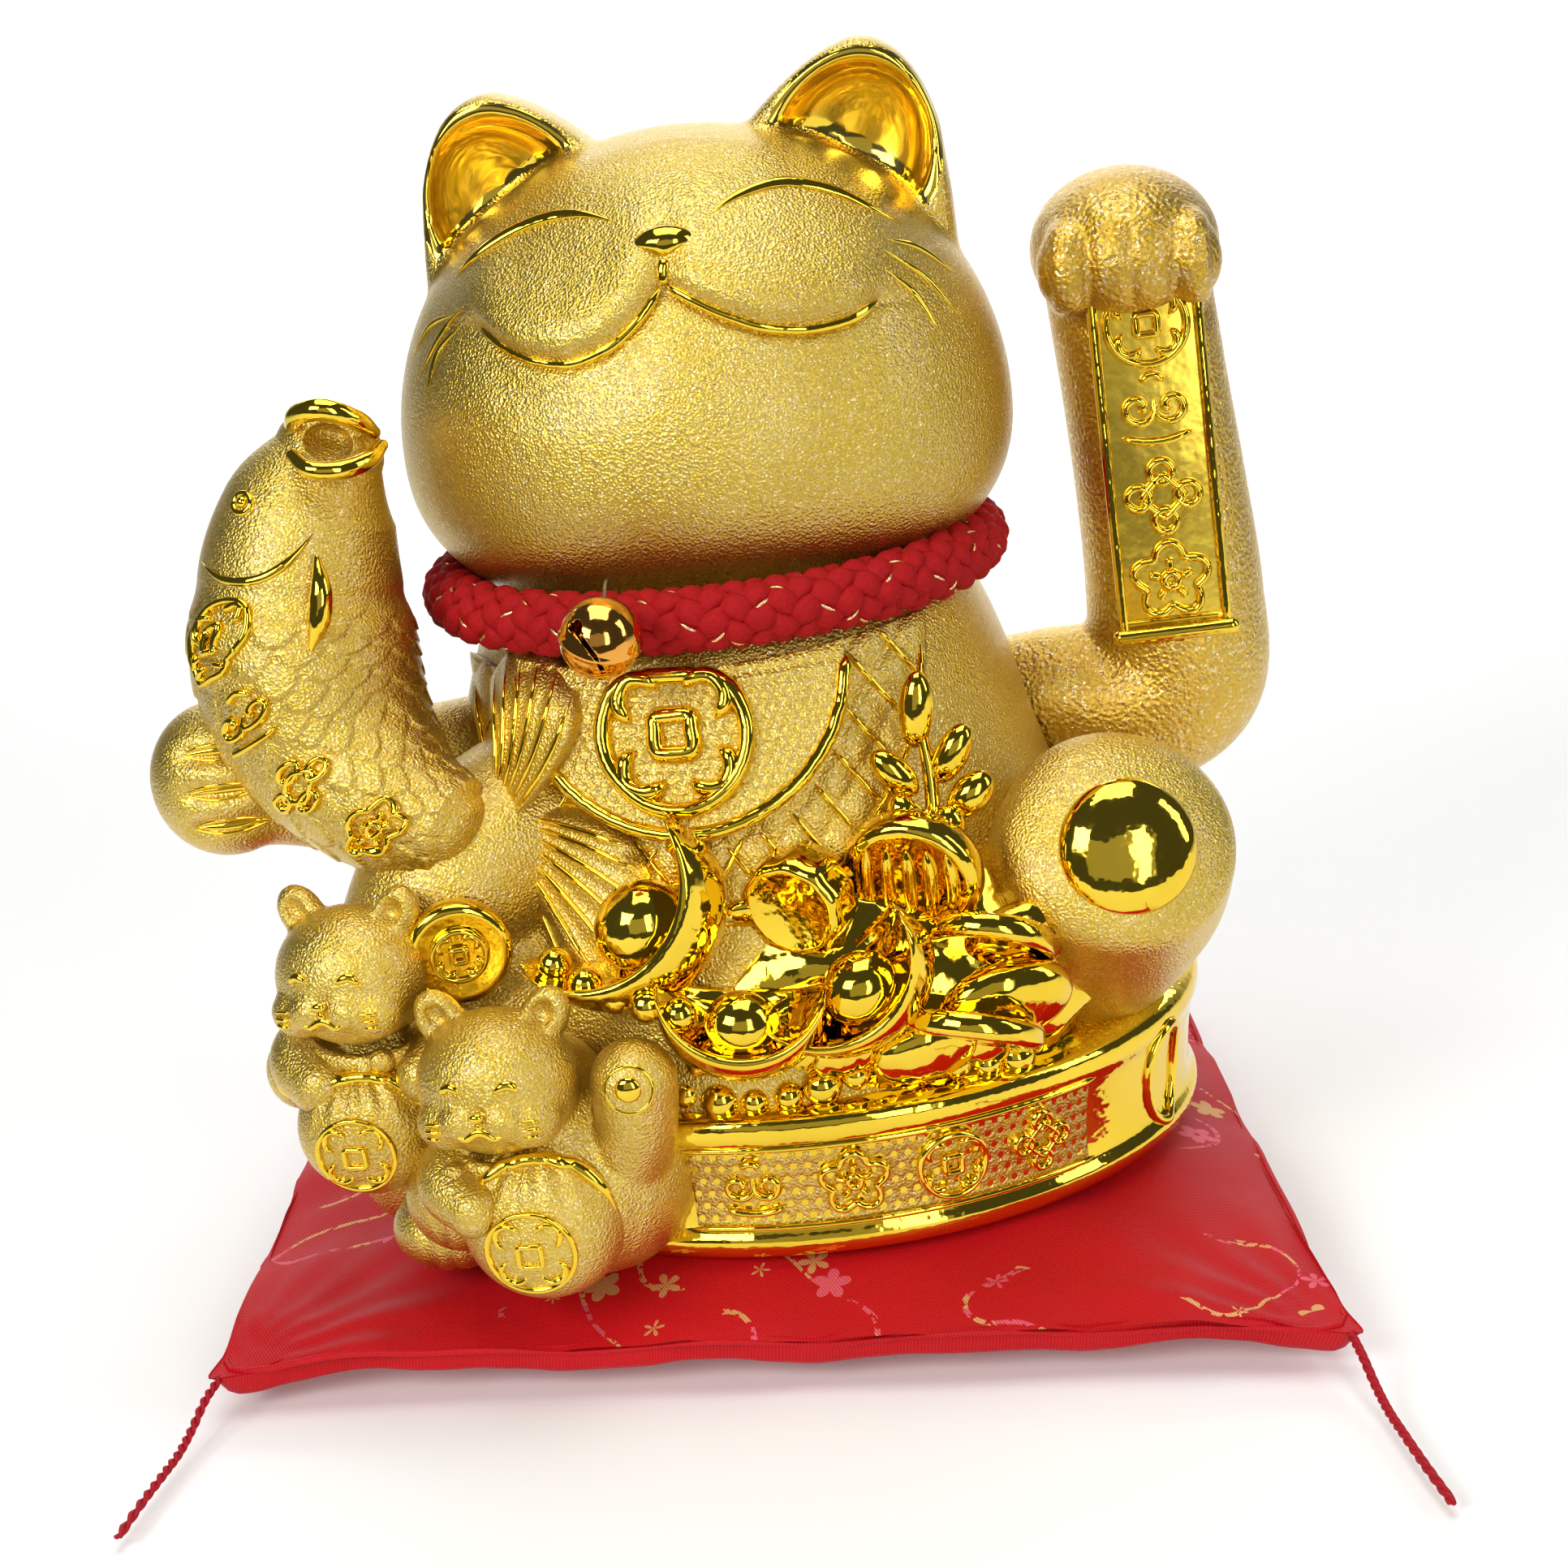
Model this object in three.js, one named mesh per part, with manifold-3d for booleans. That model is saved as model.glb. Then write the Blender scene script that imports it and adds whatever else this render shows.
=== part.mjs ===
// Beckoning cat figurine: a gold-plated slip-cast cat with a motor-less electric waving arm,
// a braided collar with a bell, and a filled satin cushion with corner cords.
// Millimetres, +Z up. The cat looks along -Y. The origin is on the table under the middle of
// the cushion.
import * as THREE from "three";
import { mergeVertices } from "three/addons/utils/BufferGeometryUtils.js";
import Module from "manifold-3d";

const wasm = await Module();
wasm.setup();

// ---------------------------------------------------------------- driving dimensions
const GAP = 0.35; // between pieces that touch
const CUSHION_TOP = 20; // where the cat stands, pressed into the cushion
const BASE_Z = CUSHION_TOP + 0.4; // underside of the castings
const WALL = 6; // thickness of the castings

const TORSO_X = 3; // the torso stands a little to the cat's left of the cushion's middle
const TORSO_RINGS = [ // height, radius
  [BASE_Z, 88], [42, 92], [66, 93], [90, 88], [112, 81], [132, 75], [150, 70], [163, 65], [171, 60.5],
];
const NECK_Z = 171; // seam between torso and head, behind the collar
const NECK_R = 42; // opening through the seam

const HEAD = { x: 3, y: -3, z: 212, halfWidth: 78, halfDepth: 66, up: 74, down: 47 };
const COLLAR = { x: 1, y: -3, z: 176, ring: 68, cord: 7.4 };
const BELL = { x: -18.5, y: -90.3, z: 178, r: 9.6, wall: 1, slot: 1.8 };
const BELL_EYE = { r: 2, wire: 0.55, reach: 11.4, rise: 38 }; // on the loop, above the cord
const BELL_LOOP = { r: 9.9, wire: 0.45, shift: 1.5 }; // the wire loop that ties it to the collar
const COLLAR_AT_BELL = COLLAR.y - Math.sqrt(COLLAR.ring ** 2 - (BELL.x - COLLAR.x) ** 2);

const ARM_AXIS = { y: 20, z: 124 }; // the arm swings about this line, along X
const ARM_LIMB = [ // x, y, z, radius from the shoulder over the elbow to the wrist
  [66, 20, 124, 17], [86, 20, 123.5, 20], [105, 20, 121, 23.4], [118, 20, 128, 24],
  [119.5, 20, 150, 23.5], [118, 20, 178, 22.4], [115.5, 19, 206, 21.6], [113, 18, 232, 21.4],
];
const PLAQUE = { x: 116.5, y: -3, z: 192, width: 29, height: 97, thick: 5, lean: 1.6 };

const PLINTH = { x: 12, y: -5, halfWidth: 105, halfDepth: 94, top: 60 };
const LEG = [ // x, y, z, radius from the haunch to the sole
  [76, -14, 66, 27], [86, -36, 80, 28], [93, -52, 98, 30.5], [96, -66, 110, 29],
];
const FOOT_PAD = { x: 98, y: -79, z: 113, r: 16.5 };
const MOUND = { x: 26, y: -54, z: 78, halfWidth: 66, halfDepth: 40, halfHeight: 38 };

const CARP = [ // x, y, z, radius from the lips to the root of the tail
  [-86, -42, 219, 13.5], [-92, -43, 207, 21], [-97, -45, 190, 25.5], [-97, -49, 168, 27],
  [-88, -55, 148, 25], [-72, -66, 136, 20], [-57, -74, 130, 13],
];
const PAW_ARM = [ // x, y, z, radius of the raised arm behind the carp
  [-62, -14, 128, 20], [-86, -26, 130, 19], [-110, -38, 138, 18], [-124, -42, 141, 19],
];

const SHAFT_R = 3;
const BATTERY = { r: 13, length: 50, x: 14.2, y: 63 };
const PACK = { halfWidth: 32.4, front: 46, back: 80, low: 26.4, high: 101.6, wall: 2, shelf: 86 };
const LEVER_LOW = 84; // end of the swing lever
const COIL_LOW = 60; // the coil stands on its pedestal, just under the magnet

const CUSHION_CORNERS = [ // x, y round the seam, from the front left
  [-131, -107], [137.5, -124.5], [113, 121], [-143.2, 124.5],
];
const CUSHION_SEAM_Z = 8;
const CORD_R = 1.2;

// ---------------------------------------------------------------- materials
const finish = (color, roughness, metalness) =>
  new THREE.MeshStandardMaterial({ color, roughness, metalness });
const SAND_GOLD = finish(0xc9a24a, 0.45, 1);
const MIRROR_GOLD = finish(0xe2b53a, 0.12, 1);
const BELL_GOLD = finish(0xd89a3c, 0.15, 1);
const RED_CORD = finish(0xc81a2b, 0.8, 0);
const RED_SATIN = finish(0xc4101c, 0.5, 0);
const GREY_PLASTIC = finish(0x4a4a4c, 0.6, 0);
const WHITE_PLASTIC = finish(0xdad8d0, 0.5, 0);
const STEEL = finish(0xb8bcc0, 0.3, 1);
const COPPER = finish(0xb4632f, 0.35, 1);
const GREEN_BOARD = finish(0x1f6b3a, 0.5, 0);
const BATTERY_LABEL = finish(0x2a5ea8, 0.4, 0.2);

// ---------------------------------------------------------------- shape helpers
const V = (x, y, z) => new THREE.Vector3(x, y, z);

// A closed geometry as a solid that can be joined and cut.
function solid(geometry) {
  const bare = geometry.clone();
  bare.deleteAttribute("normal");
  bare.deleteAttribute("uv");
  const merged = mergeVertices(bare, 1e-4);
  return new wasm.Manifold(
    new wasm.Mesh({
      numProp: 3,
      vertProperties: merged.attributes.position.array,
      triVerts: new Uint32Array(merged.index.array),
    }),
  );
}

const join = (...solids) => solids.reduce((all, one) => all.add(one));
const cut = (from, ...tools) => tools.reduce((left, tool) => left.subtract(tool), from);

// The largest body of a solid that a cut left in pieces.
const largest = (cutSolid) =>
  cutSolid.decompose().reduce((best, body) => (body.volume() > best.volume() ? body : best));

// A box given by its lowest and highest corners.
function box([x0, y0, z0], [x1, y1, z1]) {
  const g = new THREE.BoxGeometry(x1 - x0, y1 - y0, z1 - z0);
  return solid(g.translate((x0 + x1) / 2, (y0 + y1) / 2, (z0 + z1) / 2));
}

// A solid turned about Z from [radius, height] points that start and end on the axis.
function turned(points, sides) {
  const profile = points.map(([r, z]) => new THREE.Vector2(r, z));
  return new THREE.LatheGeometry(profile, sides).rotateX(Math.PI / 2);
}

// An ellipsoid.
function blob([x, y, z], [rx, ry, rz], grow = 0, sides = 12, turn = [0, 0, 0]) {
  const g = new THREE.SphereGeometry(1, sides, Math.round(sides * 0.7));
  g.rotateX(Math.PI / 2).scale(rx + grow, ry + grow, rz + grow);
  g.applyMatrix4(new THREE.Matrix4().makeRotationFromEuler(new THREE.Euler(...turn)));
  return solid(g.translate(x, y, z));
}

// A rod along X, Y or Z from one point, with the length that is given.
function rod(axis, [x, y, z], r, length, sides = 20) {
  const g = new THREE.CylinderGeometry(r, r, length, sides).translate(0, length / 2, 0);
  if (axis === "x") g.rotateZ(-Math.PI / 2);
  if (axis === "z") g.rotateX(Math.PI / 2);
  return solid(g.translate(x, y, z));
}

// A round section of changing radius carried along a smooth line, with rounded ends.
// Each station is x, y, z, radius. The end caps bulge by their own share of the radius.
function limb(stations, { grow = 0, sides = 12, rings = 6, caps = [1, 1], aside = V(0, 1, 0) } = {}) {
  const line = new THREE.CatmullRomCurve3(stations.map(([x, y, z]) => V(x, y, z)));
  const girth = new THREE.CatmullRomCurve3(stations.map(([, , , r], i) => V(i, r, 0)));
  const profile = [new THREE.Vector2(0, -1), new THREE.Vector2(1, -0.5)];
  for (let i = 0; i <= rings; i++) profile.push(new THREE.Vector2(1, i / rings));
  profile.push(new THREE.Vector2(1, 1.5), new THREE.Vector2(0, 2));
  const g = new THREE.LatheGeometry(profile, sides);
  const place = g.attributes.position;
  for (let i = 0; i < place.count; i++) {
    const u = place.getY(i);
    const along = THREE.MathUtils.clamp(u, 0, 1);
    const over = ((u - along) * Math.PI) / 2;
    const tangent = line.getTangent(along);
    const across = aside.clone().cross(tangent).normalize();
    const out = across.clone().cross(tangent);
    const r = girth.getPoint(along).y + grow;
    const bulge = over < 0 ? caps[0] : caps[1];
    const point = line.getPoint(along)
      .addScaledVector(tangent, Math.sin(over) * r * bulge)
      .addScaledVector(across, place.getX(i) * r * Math.cos(over))
      .addScaledVector(out, place.getZ(i) * r * Math.cos(over));
    place.setXYZ(i, point.x, point.y, point.z);
  }
  return solid(g);
}

// A ring of round section, or an arc of it, about a line through its middle.
function ring([x, y, z], r, section, grow = 0, sides = 40, sectionSides = 10) {
  return solid(new THREE.TorusGeometry(r, section + grow, sectionSides, sides).translate(x, y, z));
}

// ---------------------------------------------------------------- the scene graph
const figurine = new THREE.Group();
figurine.name = "beckoning_cat";

function node(name, shape, material, parent = figurine) {
  const mesh = shape.getMesh();
  const g = new THREE.BufferGeometry();
  g.setAttribute("position", new THREE.BufferAttribute(new Float32Array(mesh.vertProperties), 3));
  g.setIndex(new THREE.BufferAttribute(new Uint32Array(mesh.triVerts), 1));
  g.computeVertexNormals();
  const made = new THREE.Mesh(g, material.clone());
  made.name = name;
  parent.add(made);
  return made;
}

// Pieces of the casting, in the order in which they were luted on. Each keeps clear of all
// the pieces before it, so the later one is trimmed where two meet.
const laid = [];
function lute(name, build, material, extraCuts = []) {
  let shape = build(0);
  for (const earlier of laid) shape = shape.subtract(earlier);
  for (const tool of extraCuts) shape = shape.subtract(tool);
  laid.push(join(build(0), build(GAP + 0.2)));
  return node(name, largest(shape), material);
}

// ---------------------------------------------------------------- cavities that others need
const packRoom = box(
  [-PACK.halfWidth - 0.5, PACK.front - 2, PACK.low - 0.5],
  [PACK.halfWidth + 0.5, 110, PACK.high + 0.5],
);
const armRoom = rod("x", [52, ARM_AXIS.y, ARM_AXIS.z], 21.5, 34, 24);
const collar = (grow) =>
  ring([COLLAR.x, COLLAR.y, COLLAR.z], COLLAR.ring, COLLAR.cord, grow, 32, 8);
// A point above and in front of the collar cord, where the bell hangs.
function aroundCollar(reach) {
  const rise = THREE.MathUtils.degToRad(BELL_EYE.rise);
  return [BELL.x, COLLAR_AT_BELL - reach * Math.cos(rise), COLLAR.z + reach * Math.sin(rise)];
}
function bellLoop(grow) {
  const loop = new THREE.TorusGeometry(BELL_LOOP.r, BELL_LOOP.wire + grow, 6, 24);
  return solid(loop.rotateY(Math.PI / 2).translate(...aroundCollar(BELL_LOOP.shift)));
}
const armSweep = [-20, -5, 10, 25, 38].map((degrees) =>
  limb(ARM_LIMB, { grow: 1.2, sides: 10, rings: 6 })
    .translate([0, -ARM_AXIS.y, -ARM_AXIS.z])
    .rotate([degrees, 0, 0])
    .translate([0, ARM_AXIS.y, ARM_AXIS.z]),
);

// ---------------------------------------------------------------- torso and head
function torso(grow) {
  const low = TORSO_RINGS[0];
  const high = TORSO_RINGS[TORSO_RINGS.length - 1];
  const rings = [[0, low[0] - grow], ...TORSO_RINGS.map(([z, r]) => [r + grow, z]), [0, high[0] + grow]];
  rings[1] = [low[1] + grow, low[0] - grow];
  rings[rings.length - 2] = [high[1] + grow, high[0] + grow];
  return solid(turned(rings, 28)).translate([TORSO_X, 0, 0]);
}

function torsoHollow() {
  const inside = TORSO_RINGS.map(([z, r]) => [r - WALL, z]);
  inside[0] = [inside[0][0], BASE_Z - 5];
  const last = inside.length - 1;
  inside[last] = [NECK_R, TORSO_RINGS[last][0] - WALL];
  const points = [[0, BASE_Z - 5], ...inside, [NECK_R, NECK_Z + 5], [0, NECK_Z + 5]];
  return solid(turned(points, 16)).translate([TORSO_X, 0, 0]);
}

laid.push(collar(GAP));
laid.push(torso(GAP));
node(
  "body_shell",
  largest(cut(torso(0), torsoHollow(), collar(GAP), packRoom, armRoom)),
  SAND_GOLD,
);

// The head is a flattened ball, wider below its middle, with a flat seam at the neck.
function headBall(grow, inset = 0) {
  const points = [];
  const seam = NECK_Z + (inset ? -4 : GAP - grow);
  const steps = 5;
  const width = HEAD.halfWidth - inset + grow;
  for (let i = 0; i <= steps; i++) {
    const z = seam + ((HEAD.z - seam) * i) / steps;
    const drop = (HEAD.z - z) / (HEAD.down - inset + grow);
    points.push([width * (1 - Math.min(drop, 0.985) ** 2.4) ** (1 / 2.4), z]);
  }
  for (let i = 1; i <= 6; i++) {
    const turn = (i / 6) * (Math.PI / 2);
    points.push([i === 6 ? 0 : width * Math.cos(turn), HEAD.z + (HEAD.up - inset + grow) * Math.sin(turn)]);
  }
  const g = turned([[0, seam], ...points], inset ? 12 : 28);
  g.scale(1, HEAD.halfDepth / HEAD.halfWidth, 1);
  return solid(g).translate([HEAD.x, HEAD.y, 0]);
}

// An ear: a rounded leaf, hollowed in front like a spoon.
function ear(side, grow) {
  const outline = new THREE.Shape();
  outline.moveTo(14, 262);
  outline.lineTo(17, 281);
  outline.quadraticCurveTo(36, 300, 48, 302.5);
  outline.quadraticCurveTo(64, 303, 69, 274);
  outline.lineTo(70, 246);
  outline.lineTo(40, 236);
  outline.closePath();
  const g = new THREE.ExtrudeGeometry(outline, {
    depth: 13, curveSegments: 4, bevelEnabled: true, bevelThickness: 5, bevelSize: 4,
    bevelOffset: -4, bevelSegments: 1,
  });
  g.rotateX(Math.PI / 2).translate(0, 9, 0);
  const leaf = solid(g);
  const spoon = blob([46, -12, 275], [20, 17, 23], -grow, 10, [0, 0.5, 0]);
  const made = cut(leaf, spoon);
  return side > 0 ? made.translate([HEAD.x - 2, 0, 0]) : made.mirror([1, 0, 0]).translate([HEAD.x + 3, 0, -4]);
}

const headSolid = (grow) => join(headBall(grow), ear(1, grow), ear(-1, grow));
laid.push(headBall(GAP));
node("head_shell", largest(cut(headSolid(0), headBall(0, WALL), collar(GAP))), SAND_GOLD);

const NOSE = { x: 3, y: -51.5, z: 262 };
lute("nose", (grow) => blob([NOSE.x, NOSE.y, NOSE.z], [7.5, 3.6, 4.2], grow, 8, [-0.8, 0, 0]), MIRROR_GOLD);

// ---------------------------------------------------------------- base band and leg
lute(
  "plinth_band",
  (grow) => {
    const { x, y, halfWidth, halfDepth, top } = PLINTH;
    const rings = [
      [0, BASE_Z - grow], [0.95, BASE_Z - grow], [0.98, 26], [0.965, 29], [0.985, 50], [1, 54],
      [0.985, top + grow], [0, top + grow],
    ].map(([share, z]) => [share * (halfWidth + grow), z]);
    const g = turned(rings, 32).scale(1, (halfDepth + grow) / (halfWidth + grow), 1);
    return solid(g).translate([x, y, 0]);
  },
  MIRROR_GOLD,
  [box([-130, 60, 0], [130, 140, 80]), armRoom],
);
lute("raised_foot", (grow) => limb(LEG, { grow, caps: [0.6, 0.42], sides: 16, rings: 5 }), SAND_GOLD, armSweep);
lute(
  "foot_pad",
  (grow) => blob([FOOT_PAD.x, FOOT_PAD.y, FOOT_PAD.z], [FOOT_PAD.r, 6.5, FOOT_PAD.r], grow, 14, [-0.35, 0, 0.1]),
  MIRROR_GOLD,
);

// ---------------------------------------------------------------- chest medallion
lute(
  "chest_medallion",
  (grow) => {
    const disc = new THREE.CylinderGeometry(37 + grow, 37 + grow, 14 + 2 * grow, 28);
    disc.rotateX(-0.3).translate(-4, -68, 161);
    return solid(disc);
  },
  SAND_GOLD,
  [collar(3), bellLoop(0.6), box([-60, -120, 172], [60, -30, 240])],
);

// ---------------------------------------------------------------- carp and the paw that holds it
const carpBody = (grow) => limb(CARP, { grow, sides: 14, rings: 9, caps: [0.9, 0.6] });
const carpMouth = blob([-82, -56, 223], [6, 9, 3], 0, 12, [0.2, 0.4, 0]);
lute("carp", carpBody, SAND_GOLD, [carpMouth]);
lute("carp_tail", (grow) => limb([[-50, -76, 130, 8], [-42, -78, 146, 11], [-34, -77, 160, 6]],
  { grow, sides: 10, rings: 4, caps: [1, 0.7] }), SAND_GOLD);
lute("carp_lower_tail", (grow) => limb([[-50, -78, 124, 8], [-44, -84, 112, 11], [-40, -86, 98, 7]],
  { grow, sides: 10, rings: 4, caps: [1, 0.7] }), SAND_GOLD);
lute("raised_paw", (grow) => join(
  limb(PAW_ARM, { grow, sides: 12, rings: 5, aside: V(0, 0, 1) }),
  blob([-124, -46, 141], [19, 17, 20], grow, 12),
), SAND_GOLD);

// ---------------------------------------------------------------- kittens and their pouches
function kittenHead([x, y, z], r, grow) {
  const ears = [-1, 1].map((side) =>
    blob([x + side * r * 0.66, y + 4, z + r * 0.78], [5.5, 4, 7.5], grow, 6, [0, side * 0.5, 0]));
  return join(blob([x, y, z], [r, r * 0.86, r * 0.9], grow, 14), ...ears);
}
lute("left_kitten", (grow) => join(
  kittenHead([-89, -88, 101], 19, grow),
  limb([[-86, -66, 92, 17], [-86, -64, 68, 22], [-82, -60, BASE_Z + 22, 21]], { grow, sides: 12, rings: 4 }),
), SAND_GOLD);
lute("right_kitten", (grow) => join(
  kittenHead([-54, -106, 78], 19.5, grow),
  limb([[-48, -92, 66, 18], [-40, -92, 46, 24], [-36, -90, BASE_Z + 24, 23.5]], { grow, sides: 12, rings: 4 }),
  limb([[-30, -98, 54, 11], [-23, -104, 66, 10], [-22, -106, 75, 10]], { grow, sides: 8, rings: 3 }),
), SAND_GOLD);
lute("left_pouch", (grow) => blob([-90, -90, 62], [18, 12, 17], grow, 10), SAND_GOLD);
lute("left_pouch_knot", (grow) => blob([-109, -74, 72], [9, 9, 10], grow, 8), SAND_GOLD);
lute("right_pouch", (grow) => blob([-47, -108, 43], [20, 15, 20], grow, 12), SAND_GOLD);
lute("kitten_foot", (grow) => blob([-68, -94, 44], [15, 13, 14], grow, 10), SAND_GOLD);
lute("kitten_rear_foot", (grow) => blob([-74, -84, 32], [16, 14, 11], grow, 10), SAND_GOLD);

// ---------------------------------------------------------------- treasure
lute("treasure_mound", (grow) => blob(
  [MOUND.x, MOUND.y, MOUND.z], [MOUND.halfWidth, MOUND.halfDepth, MOUND.halfHeight], grow, 18,
), MIRROR_GOLD, [packRoom]);

// A boat-shaped ingot: a hull with upswept ends round a dome.
function ingot(at, size, turn, grow) {
  const [x, y, z] = at;
  const hull = blob([0, 0, 0], [size, size * 0.62, size * 0.62], grow, 12);
  const lid = box([-size * 2, -size * 2, size * 0.12 + grow], [size * 2, size * 2, size * 2]);
  const ends = [-1, 1].map((side) =>
    blob([side * size * 0.82, 0, size * 0.2], [size * 0.3, size * 0.34, size * 0.42], grow, 6, [0, side * 0.5, 0]));
  const dome = blob([0, 0, size * 0.2], [size * 0.5, size * 0.46, size * 0.42], grow, 10);
  const degrees = turn.map((angle) => THREE.MathUtils.radToDeg(angle));
  return join(cut(hull, lid), ...ends, dome).rotate(degrees).translate([x, y, z]);
}
const INGOTS = [
  ["large_ingot", [-17, -88, 106], 24, [0.55, -0.75, 0]],
  ["front_ingot", [4, -98, 82], 19, [0.45, 0.1, 0]],
  ["right_ingot", [34, -95, 88], 21, [0.6, -0.65, 0]],
];
for (const [name, at, size, turn] of INGOTS)
  lute(name, (grow) => ingot(at, size, turn, grow), MIRROR_GOLD);

// Coins: flat discs that lean on the heap.
const COINS = [ // name, middle, radius, thickness, tilt
  ["leaning_coin", [47, -79, 111], 16, 5, [0.3, 0, -0.25]],
  ["tall_coin", [20, -84, 109], 13, 7, [0.2, 0, -0.4]],
  ["side_coin", [64, -80, 92], 15, 6, [1.0, 0.2, -0.2]],
  ["low_coin", [58, -92, 74], 16, 6, [1.15, 0.25, -0.2]],
  ["kitten_coin", [-63, -86, 104], 13, 6, [0.1, 0, 0.2]],
];
for (const [name, [x, y, z], r, thick, turn] of COINS)
  lute(name, (grow) => {
    const disc = new THREE.CylinderGeometry(r + grow, r + grow, thick + 2 * grow, 16);
    disc.applyMatrix4(new THREE.Matrix4().makeRotationFromEuler(new THREE.Euler(...turn)));
    return solid(disc.translate(x, y, z));
  }, MIRROR_GOLD);

lute("leaf_sprig", (grow) => join(
  limb([[55, -76, 119, 5], [51, -74, 132, 6], [49, -70, 149, 4.5]], { grow, sides: 8, rings: 3 }),
  blob([62, -72, 131], [5, 5, 9], grow, 6, [0, 0.4, 0]),
  blob([43, -74, 130], [5, 5, 8], grow, 6, [0, -0.5, 0]),
), MIRROR_GOLD);

// A string of pearls that hangs along the rim of the base band.
lute("pearl_string", (grow) => {
  const pearls = [];
  for (let i = 0; i < 9; i++) {
    const angle = -1.98 + i * 0.085;
    pearls.push(blob(
      [PLINTH.x + 101 * Math.cos(angle), PLINTH.y + 91 * Math.sin(angle), 64.5 + 3 * Math.cos(i * 0.8)],
      [4.9, 4.9, 4.9], grow, 6,
    ));
  }
  return join(...pearls);
}, MIRROR_GOLD);

// ---------------------------------------------------------------- collar and bell
node("collar_cord", collar(0), RED_CORD);

function bellShape() {
  const { x, y, z, r, wall, slot } = BELL;
  const ball = blob([x, y, z], [r, r, r], 0, 14);
  const hollow = blob([x, y, z], [r - wall, r - wall, r - wall], 0, 10);
  const mouth = box([x - r, y - slot / 2, z - r - 1], [x + r, y + slot / 2, z - 2]);
  const eyeAt = aroundCollar(BELL_EYE.reach);
  const eye = new THREE.TorusGeometry(BELL_EYE.r, BELL_EYE.wire, 6, 10);
  eye.rotateX(THREE.MathUtils.degToRad(-BELL_EYE.rise)).translate(...eyeAt);
  const toEye = V(...eyeAt).sub(V(x, y, z));
  const stem = new THREE.CylinderGeometry(0.8, 0.8, toEye.length() - r - BELL_EYE.r + 0.4, 8);
  stem.applyQuaternion(new THREE.Quaternion().setFromUnitVectors(V(0, 1, 0), toEye.clone().normalize()));
  const stemAt = V(x, y, z).addScaledVector(toEye.clone().normalize(), (toEye.length() + r - BELL_EYE.r - 0.4) / 2);
  stem.translate(...stemAt.toArray());
  const eyelet = join(solid(eye), solid(stem));
  return largest(cut(join(cut(ball, hollow), cut(eyelet, hollow)), mouth));
}
node("bell", bellShape(), BELL_GOLD);
node("bell_pea", blob([BELL.x, BELL.y, BELL.z - BELL.r + BELL.wall + 3], [2.2, 2.2, 2.2], 0, 8), STEEL);
node("bell_loop", bellLoop(0).subtract(torso(GAP)), STEEL);

// ---------------------------------------------------------------- waving arm
const arm = new THREE.Group();
figurine.add(arm);

function armSolid() {
  const upper = limb(ARM_LIMB, { sides: 16, rings: 10, caps: [0.15, 1] });
  const fist = blob([112.5, 13, 243], [24.2, 27, 20], 0, 14, [0.15, 0, 0]);
  const toes = [-1.5, -0.5, 0.5, 1.5].map((step) =>
    blob([112.5 + step * 10.5, -4, 239], [6.4, 11, 12], 0, 8));
  const bore = rod("x", [55, ARM_AXIS.y, ARM_AXIS.z], SHAFT_R + GAP, 50, 12);
  return join(upper, fist, ...toes).subtract(bore);
}
function plaqueRoom(grow) {
  const { x, y, z, width, height, thick, lean } = PLAQUE;
  const g = new THREE.BoxGeometry(width + 2 * grow, thick + 2 * grow, height + 2 * grow);
  return solid(g.rotateY(THREE.MathUtils.degToRad(-lean)).translate(x, y, z));
}
node("waving_arm", largest(cut(armSolid(), plaqueRoom(GAP))), SAND_GOLD, arm);
node("arm_plaque", plaqueRoom(0), MIRROR_GOLD, arm);

const shaftEnd = { inner: 4, outer: 100 };
node("arm_shaft", rod("x", [shaftEnd.inner, ARM_AXIS.y, ARM_AXIS.z], SHAFT_R, shaftEnd.outer - shaftEnd.inner, 16),
  STEEL, arm);

function leverShape() {
  const hub = rod("x", [30, ARM_AXIS.y, ARM_AXIS.z], 8, 10, 18);
  const blade = box([32, ARM_AXIS.y - 5, LEVER_LOW], [38, ARM_AXIS.y + 5, ARM_AXIS.z]);
  return cut(join(hub, blade), rod("x", [20, ARM_AXIS.y, ARM_AXIS.z], SHAFT_R + GAP, 40, 16));
}
node("swing_lever", leverShape(), WHITE_PLASTIC, arm);
node("lever_weight", cut(
  box([26, ARM_AXIS.y - 11, LEVER_LOW + 6], [44, ARM_AXIS.y + 11, LEVER_LOW + 26]),
  box([32 - GAP, ARM_AXIS.y - 5 - GAP, 0], [38 + GAP, ARM_AXIS.y + 5 + GAP, 200]),
), STEEL, arm);
node("lever_magnet", rod("z", [35, ARM_AXIS.y, LEVER_LOW - 6 - GAP], 6.5, 6, 16), STEEL, arm);

// ---------------------------------------------------------------- drive inside the body
const FLOOR = BASE_Z + 3; // top of the base plate
const basePlate = rod("z", [TORSO_X, 0, BASE_Z], 80, 3, 28);
const BRACKET = { x0: 14, x1: 54, y0: 2, y1: 38, thick: 4, top: 134 };

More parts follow.
